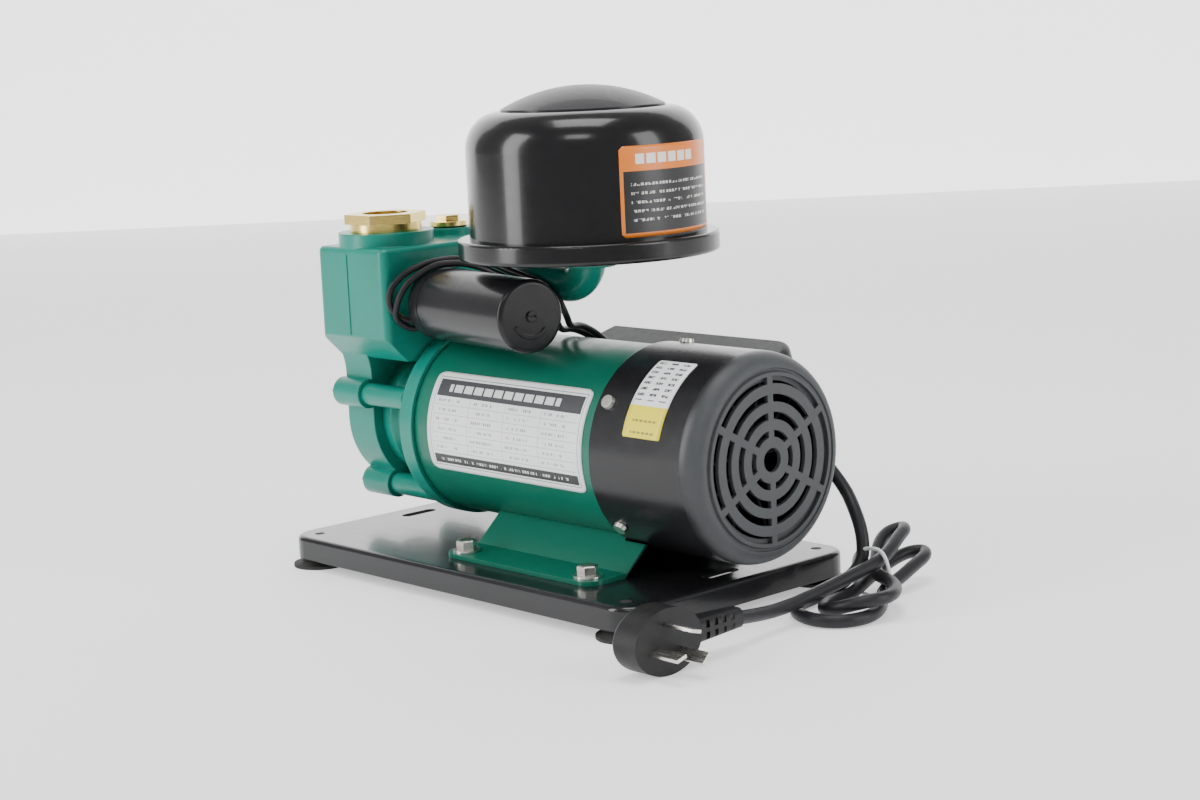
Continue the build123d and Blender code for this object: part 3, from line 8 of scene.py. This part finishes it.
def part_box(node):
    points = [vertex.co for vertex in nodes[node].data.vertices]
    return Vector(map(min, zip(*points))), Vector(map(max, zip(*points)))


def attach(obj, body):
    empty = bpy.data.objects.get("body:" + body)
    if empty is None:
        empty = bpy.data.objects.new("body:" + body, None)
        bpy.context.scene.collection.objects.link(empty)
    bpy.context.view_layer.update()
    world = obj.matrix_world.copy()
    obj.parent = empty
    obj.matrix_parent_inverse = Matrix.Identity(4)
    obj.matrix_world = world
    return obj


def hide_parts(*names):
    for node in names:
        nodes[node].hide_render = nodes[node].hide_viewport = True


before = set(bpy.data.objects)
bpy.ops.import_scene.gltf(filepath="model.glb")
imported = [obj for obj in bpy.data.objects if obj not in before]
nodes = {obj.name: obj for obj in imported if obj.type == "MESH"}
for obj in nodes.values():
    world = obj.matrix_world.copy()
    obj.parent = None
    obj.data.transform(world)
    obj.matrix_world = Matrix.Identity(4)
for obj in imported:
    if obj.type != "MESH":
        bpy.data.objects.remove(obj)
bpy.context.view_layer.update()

# ---------------------------------------------------------------------------
# Camera: a long lens off the fan end's near corner, looking slightly down on
# the pump and rolled a little, as the picture was taken.
# ---------------------------------------------------------------------------
lens = bpy.data.cameras.new("camera")
lens.lens = 68.2
lens.sensor_width = 36.0
lens.clip_start = 0.05
lens.clip_end = 20.0
camera = bpy.data.objects.new("camera", lens)
bpy.context.scene.collection.objects.link(camera)
azimuth, elevation, roll = math.radians(47.5), math.radians(9.31), math.radians(2.61)
forward = Vector((-math.sin(azimuth) * math.cos(elevation), math.cos(azimuth) * math.cos(elevation),
                  -math.sin(elevation)))
level_view = forward.to_track_quat("-Z", "Y").to_matrix()
camera.rotation_euler = (level_view @ Matrix.Rotation(-roll, 3, "Z")).to_euler()
camera.location = (0.9356, -0.8213, 0.3008)
bpy.context.scene.camera = camera


# ---------------------------------------------------------------------------
# Mains cord: three-core cable in a black PVC sheath, 7 mm across.  It drops
# from the gland behind the fan cover, is looped and folded through a white
# wire tie, and ends in a moulded plug.
# ---------------------------------------------------------------------------
class Field:
    """A value that changes over a surface: one output of a material's nodes, with arithmetic."""

    def __init__(self, tree, socket):
        self.tree = tree
        self.socket = socket

    def node(self, kind, settings=None, output=0, **inputs):
        """Adds a node: its settings first, then its inputs by name (underscores for spaces)."""
        node = self.tree.nodes.new(kind)
        for name, value in (settings or {}).items():
            setattr(node, name, value)
        for name, value in inputs.items():
            name = name.replace("_", " ")
            socket = node.inputs[int(name[1:])] if name[1:].isdigit() else node.inputs[name]
            if isinstance(value, Field):
                self.tree.links.new(value.socket, socket)
            else:
                socket.default_value = value
        return Field(self.tree, node.outputs[output])

    def math(self, operation, first, second=0.0):
        return self.node("ShaderNodeMath", {"operation": operation}, i0=first, i1=second)

    def __add__(self, other):
        return self.math("ADD", self, other)

    def __sub__(self, other):
        return self.math("SUBTRACT", self, other)

    def __mul__(self, other):
        return self.math("MULTIPLY", self, other)

    def __gt__(self, other):
        return self.math("GREATER_THAN", self, other)

    def __lt__(self, other):
        return self.math("LESS_THAN", self, other)

    def __radd__(self, other):
        return self.math("ADD", other, self)

    def __rsub__(self, other):
        return self.math("SUBTRACT", other, self)

    def __rmul__(self, other):
        return self.math("MULTIPLY", other, self)

    def wrapped(self, step):
        """Remainder after whole steps, from 0 to step."""
        return self.math("FLOORED_MODULO", self, step)

    def between(self, low, high):
        return (self > low) * (self < high)

    def blend(self, start, end):
        """Colour from start to end, this value being the amount of end."""
        mix = self.tree.nodes.new("ShaderNodeMix")
        mix.data_type = "RGBA"
        self.tree.links.new(self.socket, mix.inputs[0])
        for socket, colour in ((mix.inputs[6], start), (mix.inputs[7], end)):
            if isinstance(colour, Field):
                self.tree.links.new(colour.socket, socket)
            else:
                socket.default_value = (*colour, 1.0)
        return Field(self.tree, mix.outputs[2])

    def part(self, axis):
        """One coordinate of a place: 0, 1 or 2 for X, Y or Z."""
        return self.node("ShaderNodeSeparateXYZ", output=axis, Vector=self)

    def noise(self, scale, detail=3.0, roughness=0.5):
        return self.node("ShaderNodeTexNoise", Vector=self, Scale=scale, Detail=detail, Roughness=roughness)

    def stretched(self, x, y, z):
        """The same place measured with each axis scaled."""
        return self.node("ShaderNodeVectorMath", {"operation": "MULTIPLY"}, i0=self, i1=(x, y, z))


class Surface:
    """A material with one Principled shader.  place is the point in the pump's own frame."""

    def __init__(self, name, **constants):
        self.material = bpy.data.materials.new(name)
        self.material.use_nodes = True
        self.tree = self.material.node_tree
        self.shader = self.tree.nodes["Principled BSDF"]
        for socket, value in constants.items():
            self.shader.inputs[socket.replace("_", " ")].default_value = value
        coordinates = self.tree.nodes.new("ShaderNodeTexCoord")
        self.place = Field(self.tree, coordinates.outputs["Object"])
        self.flat = Field(self.tree, coordinates.outputs["UV"])

    def feed(self, socket, value):
        self.tree.links.new(value.socket, self.shader.inputs[socket])

    def bump(self, height, strength, distance, rounding=0.0):
        """Relief on the surface, with corners shaded as if rounded by rounding metres."""
        inputs = {"Height": height, "Strength": strength, "Distance": distance}
        if rounding:
            inputs["Normal"] = height.node("ShaderNodeBevel", {"samples": 6}, Radius=rounding)
        self.feed("Normal", height.node("ShaderNodeBump", **inputs))

    def cover(self, *names):
        """Puts the material on CAD nodes."""
        for name in names:
            piece = nodes[name]
            if not piece.material_slots:
                piece.data.materials.append(self.material)
            for slot in piece.material_slots:
                slot.material = self.material


def black_sheath(name, colour, shine):
    """Flexible black PVC: even, faintly dusty, with a soft shine and fine flow marks."""
    sheath = Surface(name, Specular_IOR_Level=0.28)
    dust = sheath.place.noise(160.0, 4.0)
    sheath.feed("Base Color", dust.blend(colour, [c * 1.6 + 0.002 for c in colour]))
    sheath.feed("Roughness", sheath.place.noise(420.0) * 0.22 + shine)
    sheath.bump(sheath.place.noise(2600.0, 2.0), 0.25, 0.0002)
    return sheath


cord_diameter = 0.007
# from the gland down to the tie
cord_route = [(130.0, 72.0, 71.4), (146.5, 74.0, 56.0), (161.0, 67.5, 43.0), (168.5, 64.0, 31.5),
              (171.5, 60.0, 18.5)]
# outer loop on the floor and back to the tie
cord_route += [(168.5, 48.0, 9.5), (163.5, 33.0, 4.2), (164.0, 17.0, 3.6), (174.0, 4.0, 3.6),
               (190.0, -1.5, 3.6), (204.0, 4.0, 3.6), (209.5, 18.0, 3.7), (206.0, 32.0, 4.2),
               (196.0, 46.0, 5.0), (184.0, 61.0, 5.4)]
# lower fold on the far side
cord_route += [(182.0, 76.0, 8.0), (179.5, 92.0, 12.0), (177.5, 104.0, 14.5), (171.5, 110.5, 15.5),
               (165.5, 104.0, 15.0), (164.0, 92.0, 12.5), (166.0, 76.0, 9.0), (170.2, 61.0, 6.6)]
# inner loop, which lies over the outer one
cord_route += [(174.0, 46.0, 4.2), (173.5, 30.0, 3.7), (181.0, 16.5, 4.0), (195.0, 12.0, 7.5),
               (207.5, 18.0, 11.6), (213.0, 31.0, 12.2), (206.0, 46.0, 12.2), (193.0, 56.5, 12.6),
               (178.0, 62.0, 12.6)]
# upper fold
cord_route += [(168.5, 74.0, 17.0), (162.0, 84.0, 23.0), (159.5, 94.0, 27.0), (164.5, 101.0, 29.0),
               (170.5, 96.0, 29.6), (174.0, 86.0, 27.6), (179.0, 73.0, 23.6), (181.5, 60.0, 20.0)]
# over the loops and along to the plug
cord_route += [(181.4, 44.0, 17.5), (181.0, 28.0, 15.0), (181.0, 12.0, 12.9), (181.4, -7.0, 11.0),
               (183.4, -29.0, 11.4), (186.5, -51.0, 14.6)]


def smooth_cord(name, route, diameter):
    """Round cord on one open NURBS spline through listed control points, given in millimetres."""
    line = bpy.data.curves.new(name, "CURVE")
    line.dimensions = "3D"
    line.bevel_depth = diameter / 2
    line.bevel_resolution = 6
    line.resolution_u = 8
    line.use_fill_caps = True
    spline = line.splines.new("NURBS")
    spline.points.add(len(route) - 1)
    for point, place in zip(spline.points, route):
        point.co = (*(value / 1000 for value in place), 1.0)
    spline.order_u = 3
    spline.use_endpoint_u = True
    piece = bpy.data.objects.new(name, line)
    bpy.context.scene.collection.objects.link(piece)
    return piece


cord = smooth_cord("mains_cord", cord_route, cord_diameter)
cord_sheath = black_sheath("cord sheath", (0.012, 0.012, 0.014), 0.3)
cord.data.materials.append(cord_sheath.material)
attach(cord, "pump")
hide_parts("cord_drop", "cord_hank", "cord_plug_run")

# ---------------------------------------------------------------------------
# Cord tie: a plastic-covered wire bent once round the strands, its two ends
# twisted together underneath; drawn here as one closed loop, without the twist.
# ---------------------------------------------------------------------------
tie_line = bpy.data.curves.new("cord_tie", "CURVE")
tie_line.dimensions = "3D"
tie_line.bevel_depth = 0.001
tie_line.bevel_resolution = 4
tie_spline = tie_line.splines.new("NURBS")
tie_points = [(165.6, 2.4), (163.8, 12.0), (165.4, 22.6), (173.5, 26.6), (184.4, 27.0), (189.0, 17.0),
              (190.0, 6.0), (185.5, 1.0), (175.0, 1.0)]
tie_spline.points.add(len(tie_points) - 1)
for point, (x, z) in zip(tie_spline.points, tie_points):
    point.co = (x / 1000, 0.0605, z / 1000, 1.0)
tie_spline.order_u = 3
tie_spline.use_cyclic_u = True
tie = bpy.data.objects.new("cord_tie", tie_line)
bpy.context.scene.collection.objects.link(tie)
tie_skin = Surface("tie plastic", Roughness=0.35)
tie_grime = tie_skin.place.noise(700.0)
tie_skin.feed("Base Color", tie_grime.blend((0.62, 0.63, 0.64), (0.86, 0.87, 0.88)))
tie_skin.bump(tie_grime, 0.2, 0.0002)
tie_line.materials.append(tie_skin.material)
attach(tie, "pump")

# ---------------------------------------------------------------------------
# Plug: moulded black PVC with a ribbed strain relief and three flat
# nickel-plated brass pins, pressed in.
# ---------------------------------------------------------------------------
plug_skin = black_sheath("plug moulding", (0.007, 0.007, 0.008), 0.3)
plug_skin.cover("plug_body")
pin_plate = Surface("pin plating", Metallic=1.0)
pin_wear = pin_plate.place.stretched(40.0, 900.0, 900.0).noise(1.0, 4.0)
pin_plate.feed("Base Color", pin_wear.blend((0.55, 0.52, 0.46), (0.86, 0.85, 0.82)))
pin_plate.feed("Roughness", pin_wear * 0.25 + 0.14)
pin_plate.bump(pin_wear, 0.15, 0.0002, 0.0004)
pin_plate.cover("plug_pins")


# ---------------------------------------------------------------------------
# Gloss black sheet steel: the pressed base plate and the spun pressure tank,
# stove enamelled.  The enamel has a little orange peel, dust and rub marks.
# ---------------------------------------------------------------------------
def gloss_enamel(name, dark, light, roughness, peel):
    enamel = Surface(name, Coat_Weight=0.2, Coat_Roughness=0.06, Specular_IOR_Level=0.35)
    dust = enamel.place.noise(55.0, 5.0, 0.6)
    enamel.feed("Base Color", dust.blend(dark, light))
    scuffs = enamel.place.stretched(60.0, 260.0, 200.0).noise(1.0, 5.0, 0.7)
    enamel.feed("Roughness", scuffs * 0.16 + roughness)
    enamel.bump(enamel.place.noise(380.0, 1.0), peel, 0.0003, 0.0008)
    return enamel


plate_enamel = gloss_enamel("plate enamel", (0.006, 0.006, 0.007), (0.016, 0.016, 0.018), 0.14, 0.07)
plate_enamel.cover("base_plate", "tank_nut")
tank_enamel = gloss_enamel("tank enamel", (0.005, 0.005, 0.006), (0.011, 0.011, 0.012), 0.12, 0.03)
tank_enamel.cover("tank_shell", "tank_base")
cap_enamel = gloss_enamel("tank cap enamel", (0.016, 0.016, 0.018), (0.03, 0.03, 0.033), 0.34, 0.12)
cap_enamel.cover("tank_cap")

# ---------------------------------------------------------------------------
# Feet: soft black rubber buttons pulled through the plate, matt, with bloom
# and grit all over them.
# ---------------------------------------------------------------------------
rubber = Surface("foot rubber", Specular_IOR_Level=0.3)
bloom = rubber.place.noise(240.0, 5.0, 0.65)
rubber.feed("Base Color", bloom.blend((0.010, 0.010, 0.010), (0.045, 0.044, 0.042)))
rubber.feed("Roughness", bloom * 0.2 + 0.62)
rubber.bump(rubber.place.noise(1800.0, 3.0), 0.35, 0.0003, 0.0006)
rubber.cover("rubber_feet", "casing_o_ring", "priming_washer", "tank_bladder", "switch_diaphragm")


# ---------------------------------------------------------------------------
# Green paint: the same sprayed enamel over smooth rolled tube and foot, and
# over rougher sand-cast iron on the pump casing, brackets and elbow. The castings'
# copy has a lighter green than the tube's: painted light, as if lit more strongly.
# ---------------------------------------------------------------------------
def green_paint(name, dark, light, grain, depth, rounding):
    paint = Surface(name, Coat_Weight=0.12, Coat_Roughness=0.12, Specular_IOR_Level=0.36)
    drift = paint.place.noise(26.0, 3.0)
    speckle = paint.place.noise(900.0, 2.0)
    paint.feed("Base Color", (drift * 0.75 + speckle * 0.25).blend(dark, light))
    paint.feed("Roughness", paint.place.noise(140.0, 4.0) * 0.2 + 0.24)
    paint.bump(paint.place.noise(grain, 4.0, 0.55), depth, 0.0004, rounding)
    return paint


tube_paint = green_paint("green paint on steel", (0.0, 0.115, 0.070), (0.0, 0.155, 0.100), 420.0, 0.08,
                         0.0006)
tube_paint.cover("motor_tube", "motor_foot")
# painted light: the castings' green is lighter than the tube's copy of the same enamel, as if lit more
# strongly
cast_paint_lit_copy = green_paint("green paint on castings, painted lighter", (0.0, 0.190, 0.140), (0.0, 0.250, 0.188), 620.0, 0.3,
                         0.0016)
cast_paint_lit_copy.cover("pump_casing", "front_bracket", "rear_shield", "tank_elbow")


# ---------------------------------------------------------------------------
# Rating plate: printed white foil round the near side of the motor, with a
# grey heading, ruled rows and a black foot band.  Its wording is left out:
# plain bars stand where the print is.
# ---------------------------------------------------------------------------
def curved_sheet(name, point_at, width, height, corner, columns, rows, thickness):
    """Thin printed sheet with round corners, bent onto a surface by point_at(across, up, lift)."""
    vertices, sheet_uv, faces = [], [], []
    for row in range(rows + 1):
        up = height * row / rows
        past = max(corner - up, up - (height - corner), 0.0)
        inset = corner - math.sqrt(max(corner**2 - past**2, 0.0)) if past else 0.0
        for column in range(columns + 1):
            across = inset + (width - 2 * inset) * column / columns
            vertices.append(point_at(across, up, 0.0001))
            sheet_uv.append((across * 1000, up * 1000))
    for row in range(rows):
        for column in range(columns):
            first = row * (columns + 1) + column
            faces.append((first, first + 1, first + columns + 2, first + columns + 1))
    mesh = bpy.data.meshes.new(name)
    mesh.from_pydata(vertices, [], faces)
    layer = mesh.uv_layers.new(name="print")
    for loop in mesh.loops:
        layer.data[loop.index].uv = sheet_uv[loop.vertex_index]
    mesh.shade_smooth()
    piece = bpy.data.objects.new(name, mesh)
    bpy.context.scene.collection.objects.link(piece)
    thick = piece.modifiers.new("thickness", "SOLIDIFY")
    thick.thickness = thickness
    thick.offset = 1.0
    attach(piece, "pump")
    return piece


def printed(name, paper, wear):
    """Printed foil: its own colour, and the two millimetre coordinates that the print is drawn with."""
    foil = Surface(name, Coat_Weight=0.25, Coat_Roughness=0.2)
    across, up = foil.flat.part(0), foil.flat.part(1)
    tone = foil.place.noise(300.0, 4.0)
    foil.feed("Roughness", tone * wear + 0.3)
    foil.bump(foil.place.noise(500.0), 0.04, 0.0003)
    return foil, across, up, tone.blend(paper, [c * 0.93 for c in paper])


axis_low, axis_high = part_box("motor_tube")
motor_y = (axis_low[1] + axis_high[1]) / 2
motor_z = (axis_low[2] + axis_high[2]) / 2
tube_radius = (axis_high[1] - axis_low[1]) / 2
plate_start, plate_end = -0.056, 0.072
plate_top_angle, plate_angle = math.radians(139.5), math.radians(62.0)


def on_tube(across, up, lift):
    angle = plate_top_angle + plate_angle - up / tube_radius
    reach = tube_radius + lift
    return (plate_start + across, motor_y + reach * math.cos(angle), motor_z + reach * math.sin(angle))


plate_height = plate_angle * tube_radius
rating_plate = curved_sheet("rating_plate", on_tube, plate_end - plate_start, plate_height, 0.0045, 40, 44,
                            0.0003)
foil, across, up, colour = printed("rating plate print", (0.93, 0.94, 0.95), 0.15)
wide, high = (plate_end - plate_start) * 1000, plate_height * 1000
inside = across.between(3.0, wide - 3.0) * up.between(3.0, high - 3.0)
inner = across.between(3.5, wide - 3.5) * up.between(3.5, high - 3.5)
colour = (inside * (1.0 - inner)).blend(colour, (0.25, 0.26, 0.27))
table = across.between(5.0, wide - 5.0) * up.between(11.5, high - 15.5)
rules = table * ((up - 11.5).wrapped(5.2) < 0.28)
posts = table * ((across - 5.0).wrapped(29.5) < 0.3)
colour = rules.blend(colour, (0.42, 0.43, 0.44))
colour = posts.blend(colour, (0.42, 0.43, 0.44))
words = foil.flat.stretched(0.55, 0.19, 1.0).noise(1.0, 2.0) > 0.5
cells = (across - 5.0).wrapped(29.5).between(2.5, 21.0)
lettering = table * (up - 11.5).wrapped(5.2).between(1.9, 3.4) * cells
colour = (lettering * words * ((across.wrapped(1.7)) > 0.5)).blend(colour, (0.30, 0.31, 0.33))
heading = across.between(4.5, wide - 4.5) * up.between(high - 14.5, high - 4.6)
colour = heading.blend(colour, (0.045, 0.047, 0.052))
title = across.between(14.0, wide - 22.0) * up.between(high - 11.8, high - 7.4) * (across.wrapped(8.4) > 1.5)
colour = title.blend(colour, (0.78, 0.79, 0.80))
foot_band = across.between(4.5, wide - 4.5) * up.between(4.4, 9.8)
colour = foot_band.blend(colour, (0.012, 0.012, 0.013))
foot_print = across.between(10.0, wide - 12.0) * up.between(6.2, 7.8) * words * (across.wrapped(2.1) > 0.6)
colour = foot_print.blend(colour, (0.72, 0.73, 0.74))
foil.feed("Base Color", colour)
rating_plate.data.materials.append(foil.material)

# ---------------------------------------------------------------------------
# Fan cover and fan: black moulded plastic, the cover glossy round its side
# from the tool and finely grained on its slotted face.
# ---------------------------------------------------------------------------
cover_low, cover_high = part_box("fan_cover")
shell = Surface("fan cover plastic", Specular_IOR_Level=0.4)
along = shell.place.part(0)
face = along.node("ShaderNodeMapRange", {"interpolation_type": "SMOOTHSTEP"}, Value=along,
                  From_Min=cover_high[0] - 0.014, From_Max=cover_high[0] - 0.003)
shell_dust = shell.place.noise(120.0, 5.0, 0.6)
shell.feed("Base Color", face.blend(shell_dust.blend((0.008, 0.008, 0.009), (0.017, 0.017, 0.019)),
                                    shell_dust.blend((0.040, 0.044, 0.047), (0.062, 0.067, 0.070))))
shell.feed("Roughness", face * 0.3 + shell_dust * 0.08 + 0.2)
shell.bump(shell.place.noise(1500.0, 3.0), 0.16, 0.00025, 0.0006)
shell.cover("fan_cover")


def moulded_plastic(name, dark, light, roughness, grain):
    """Moulded plastic from a spark-eroded tool: fine grain, faint flow streaks and handling marks."""
    plastic = Surface(name, Specular_IOR_Level=0.3)
    streak = plastic.place.stretched(30.0, 90.0, 90.0).noise(1.0, 4.0)
    plastic.feed("Base Color", streak.blend(dark, light))
    plastic.feed("Roughness", plastic.place.noise(260.0, 4.0) * 0.16 + roughness)
    plastic.bump(plastic.place.noise(1900.0, 2.0), grain, 0.00025, 0.0006)
    return plastic


fan_plastic = moulded_plastic("fan plastic", (0.012, 0.012, 0.013), (0.022, 0.022, 0.024), 0.45, 0.2)
fan_plastic.cover("cooling_fan")

# ---------------------------------------------------------------------------
# Notice strip on the fan cover: a narrow foil, white above and yellow below,
# with rows of plain bars in place of its wording.
# ---------------------------------------------------------------------------
cover_radius = (cover_high[1] - cover_low[1]) / 2
strip_start, strip_width = 0.104, 0.027
strip_top_angle, strip_angle = math.radians(115.0), math.radians(49.0)


def on_cover(across, up, lift):
    angle = strip_top_angle + strip_angle - up / cover_radius
    reach = cover_radius + lift
    return (strip_start + across, motor_y + reach * math.cos(angle), motor_z + reach * math.sin(angle))


strip_height = strip_angle * cover_radius
notice = curved_sheet("notice_strip", on_cover, strip_width, strip_height, 0.0008, 8, 40, 0.00025)
foil, across, up, colour = printed("notice print", (0.92, 0.92, 0.93), 0.15)
high = strip_height * 1000
colour = (up < 0.36 * high).blend(colour, (0.86, 0.74, 0.02))
rows = up.wrapped(3.6).between(0.9, 2.5) * up.between(0.42 * high, 0.97 * high)
words = foil.flat.stretched(0.9, 0.9, 1.0).noise(1.0, 2.0) > 0.42
marks = rows * across.wrapped(8.6).between(1.6, 6.4) * words
colour = marks.blend(colour, (0.06, 0.07, 0.09))
low_marks = (up.wrapped(6.2)).between(2.2, 3.4) * up.between(1.0, 0.30 * high) * across.between(5.0, 22.0)
colour = (low_marks * (across.wrapped(3.1) > 0.8)).blend(colour, (0.30, 0.24, 0.03))
foil.feed("Base Color", colour)
notice.data.materials.append(foil.material)


# ---------------------------------------------------------------------------
# Fasteners and bare steel: zinc-plated bolts with a faint yellow and blue
# passivation, and ground or stamped steel inside the motor.
# ---------------------------------------------------------------------------
def bare_metal(name, dark, light, roughness, scratches, stretch):
    metal = Surface(name, Metallic=1.0)
    tarnish = metal.place.noise(240.0, 5.0, 0.6)
    metal.feed("Base Color", tarnish.blend(dark, light))
    lines = metal.place.stretched(*stretch).noise(1.0, 3.0, 0.6)
    metal.feed("Roughness", lines * 0.2 + roughness)
    metal.bump(lines, scratches, 0.0002, 0.0004)
    return metal


zinc = bare_metal("zinc plate", (0.52, 0.50, 0.42), (0.80, 0.80, 0.78), 0.2, 0.12, (900.0, 900.0, 900.0))
zinc.cover("foot_bolts", "foot_nuts", "foot_washers", "tie_bolts", "fan_cover_screws", "casing_bolts",
           "terminal_box_screws")
ground = bare_metal("ground steel", (0.42, 0.42, 0.43), (0.60, 0.60, 0.61), 0.16, 0.1, (2400.0, 60.0, 60.0))
ground.cover("shaft", "impeller_key", "bearing_outer_rings", "bearing_inner_rings", "bearing_balls",
             "check_valve_pin")
laminated = bare_metal("steel laminations", (0.16, 0.16, 0.17), (0.34, 0.34, 0.36), 0.38, 0.5,
                       (2000.0, 4.0, 4.0))
laminated.cover("stator_core", "rotor_core")

# ---------------------------------------------------------------------------
# Windings: enamelled copper wire laid side by side and varnished.
# ---------------------------------------------------------------------------
winding = Surface("varnished copper", Metallic=0.85, Coat_Weight=0.5)
strands = winding.place.stretched(120.0, 1500.0, 1500.0).noise(1.0, 2.0)
winding.feed("Base Color", strands.blend((0.24, 0.07, 0.025), (0.62, 0.25, 0.10)))
winding.feed("Roughness", strands * 0.3 + 0.25)
winding.bump(strands, 0.8, 0.0005)
winding.cover("stator_windings")

# ---------------------------------------------------------------------------
# Brass: the bushes, nipple and priming plug are turned from hexagon bar, and
# the impeller and flap are cast and machined.  Turning leaves fine rings.
# ---------------------------------------------------------------------------
brass = bare_metal("turned brass", (0.80, 0.56, 0.14), (0.96, 0.76, 0.28), 0.13, 0.22, (90.0, 90.0, 2600.0))
brass.cover("outlet_bush", "priming_plug", "check_valve_flap")
side_brass = bare_metal("brass turned on a level axis", (0.80, 0.56, 0.14), (0.96, 0.76, 0.28), 0.13, 0.22,
                        (2600.0, 90.0, 90.0))
side_brass.cover("inlet_bush", "switch_nipple", "impeller")

# ---------------------------------------------------------------------------
# Pressure tank's band: printed orange and black foil round the side of the
# tank.  Its wording is replaced by plain bars.
# ---------------------------------------------------------------------------
tank_low, tank_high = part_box("tank_shell")
tank_x = (tank_low[0] + tank_high[0]) / 2
tank_y = (tank_low[1] + tank_high[1]) / 2
tank_radius = (tank_high[0] - tank_low[0]) / 2
band_start, band_angle = math.radians(-27.0), math.radians(64.0)
band_bottom, band_height = 0.193, 0.047


def on_tank(across, up, lift):
    angle = band_start + across / tank_radius
    reach = tank_radius + lift
    return (tank_x + reach * math.cos(angle), tank_y + reach * math.sin(angle), band_bottom + up)


tank_band = curved_sheet("tank_band", on_tank, band_angle * tank_radius, band_height, 0.002, 48, 24, 0.00025)
foil, across, up, colour = printed("tank band print", (0.85, 0.22, 0.015), 0.12)
wide, high = band_angle * tank_radius * 1000, band_height * 1000
panel = across.between(2.0, wide - 2.0) * up.between(2.2, high - 13.0)
colour = panel.blend(colour, (0.012, 0.012, 0.014))
words = foil.flat.stretched(0.4, 0.3, 1.0).noise(1.0, 2.0) > 0.46
text_block = up.between(5.0, high - 16.0) * across.between(6.0, wide - 7.0)
lines = (up - 2.0).wrapped(4.6).between(1.5, 2.9) * text_block
colour = (lines * words * (across.wrapped(2.2) > 0.6)).blend(colour, (0.62, 0.60, 0.56))
title = up.between(high - 9.4, high - 4.2) * across.between(9.0, wide - 22.0) * (across.wrapped(7.0) > 1.4)
colour = title.blend(colour, (0.86, 0.84, 0.80))
foil.feed("Base Color", colour)
tank_band.data.materials.append(foil.material)

# ---------------------------------------------------------------------------
# Pressure switch: a satin black plastic housing on a brass nipple, with twin
# leads that arch over it to the terminal box.
# ---------------------------------------------------------------------------
switch_plastic = moulded_plastic("switch plastic", (0.010, 0.010, 0.011), (0.019, 0.019, 0.021), 0.14, 0.05)
switch_plastic.cover("switch_housing", "switch_base", "switch_screw")
lead_sheath = black_sheath("lead sheath", (0.009, 0.009, 0.010), 0.26)
lead_sheath.cover("switch_leads")

# ---------------------------------------------------------------------------
# Terminal box: black thermoplastic with a screwed lid and a moulded gland.
# ---------------------------------------------------------------------------
box_plastic = moulded_plastic("box plastic", (0.016, 0.017, 0.019), (0.030, 0.031, 0.034), 0.36, 0.22)
box_plastic.cover("terminal_box", "terminal_box_lid", "cord_gland")

# ---------------------------------------------------------------------------
# Inner mouldings: natural grey nylon on the switch's guide and rod, the check
# valve's bracket and the capacitor's can.
# ---------------------------------------------------------------------------
nylon = moulded_plastic("grey nylon", (0.26, 0.27, 0.28), (0.40, 0.41, 0.42), 0.4, 0.12)
nylon.cover("switch_guide", "switch_plunger", "check_valve_bracket", "capacitor")

# ---------------------------------------------------------------------------
# Shaft seal: a carbon face against a sintered ceramic seat, both lapped.
# ---------------------------------------------------------------------------
ceramic = Surface("sintered ceramic", Specular_IOR_Level=0.6)
grains = ceramic.place.noise(1400.0, 4.0)
ceramic.feed("Base Color", grains.blend((0.50, 0.47, 0.40), (0.70, 0.67, 0.60)))
ceramic.feed("Roughness", grains * 0.2 + 0.2)
ceramic.bump(grains, 0.1, 0.0002)
ceramic.cover("seal_seat", "seal_head")

# ---------------------------------------------------------------------------
# Studio: a white paper floor with a lit white backdrop behind it, in a dark
# room, with large soft lights left, right and above.
# ---------------------------------------------------------------------------
front_edge, back_edge, half_width, backdrop_top = -0.78, 2.6, 3.2, 3.0


def studio_sheet(name, profile, glow):
    """Flat glowing paper across the picture, given its two edges as (distance behind the pump, height)."""
    corners = []
    for reach, height in profile:
        for side in (-half_width, half_width):
            corners.append((side * math.cos(azimuth) - reach * math.sin(azimuth),
                            side * math.sin(azimuth) + reach * math.cos(azimuth), height))
    mesh = bpy.data.meshes.new(name)
    mesh.from_pydata(corners, [], [(0, 1, 3, 2)])
    sheet = bpy.data.objects.new(name, mesh)
    bpy.context.scene.collection.objects.link(sheet)
    paper = Surface(name + " paper", Specular_IOR_Level=0.1, Emission_Color=(1.0, 1.0, 1.0, 1.0),
                    Emission_Strength=glow)
    fibre = paper.place.noise(8.0, 4.0)
    paper.feed("Base Color", fibre.blend((0.87, 0.87, 0.87), (0.90, 0.90, 0.90)))
    paper.feed("Roughness", fibre * 0.1 + 0.78)
    mesh.materials.append(paper.material)


studio_sheet("floor", [(front_edge, 0.0), (back_edge, 0.0)], 0.55)
studio_sheet("backdrop", [(back_edge, 0.0), (back_edge, backdrop_top)], 1.7)

target = Vector((0.02, 0.0, 0.13))
soft_lights = [("left", (-0.75, -1.55, 0.75), 0.6, 1.6, 26.0), ("right", (1.9, 0.75, 0.8), 0.8, 1.5, 22.0),
               ("top", (0.1, -0.1, 2.0), 1.0, 0.9, 20.0), ("front", (1.3, -1.5, 1.9), 0.9, 0.5, 9.0)]
for name, place, width, height, power in soft_lights:
    light = bpy.data.lights.new(name, "AREA")
    light.shape = "RECTANGLE"
    light.size = width
    light.size_y = height
    light.energy = power
    lamp = bpy.data.objects.new(name, light)
    lamp.location = place
    lamp.rotation_euler = (target - Vector(place)).to_track_quat("-Z", "Y").to_euler()
    bpy.context.scene.collection.objects.link(lamp)
world = bpy.data.worlds.new("studio air")
world.use_nodes = True
world.node_tree.nodes["Background"].inputs["Color"].default_value = (1.0, 1.0, 1.0, 1.0)
world.node_tree.nodes["Background"].inputs["Strength"].default_value = 0.42
bpy.context.scene.world = world
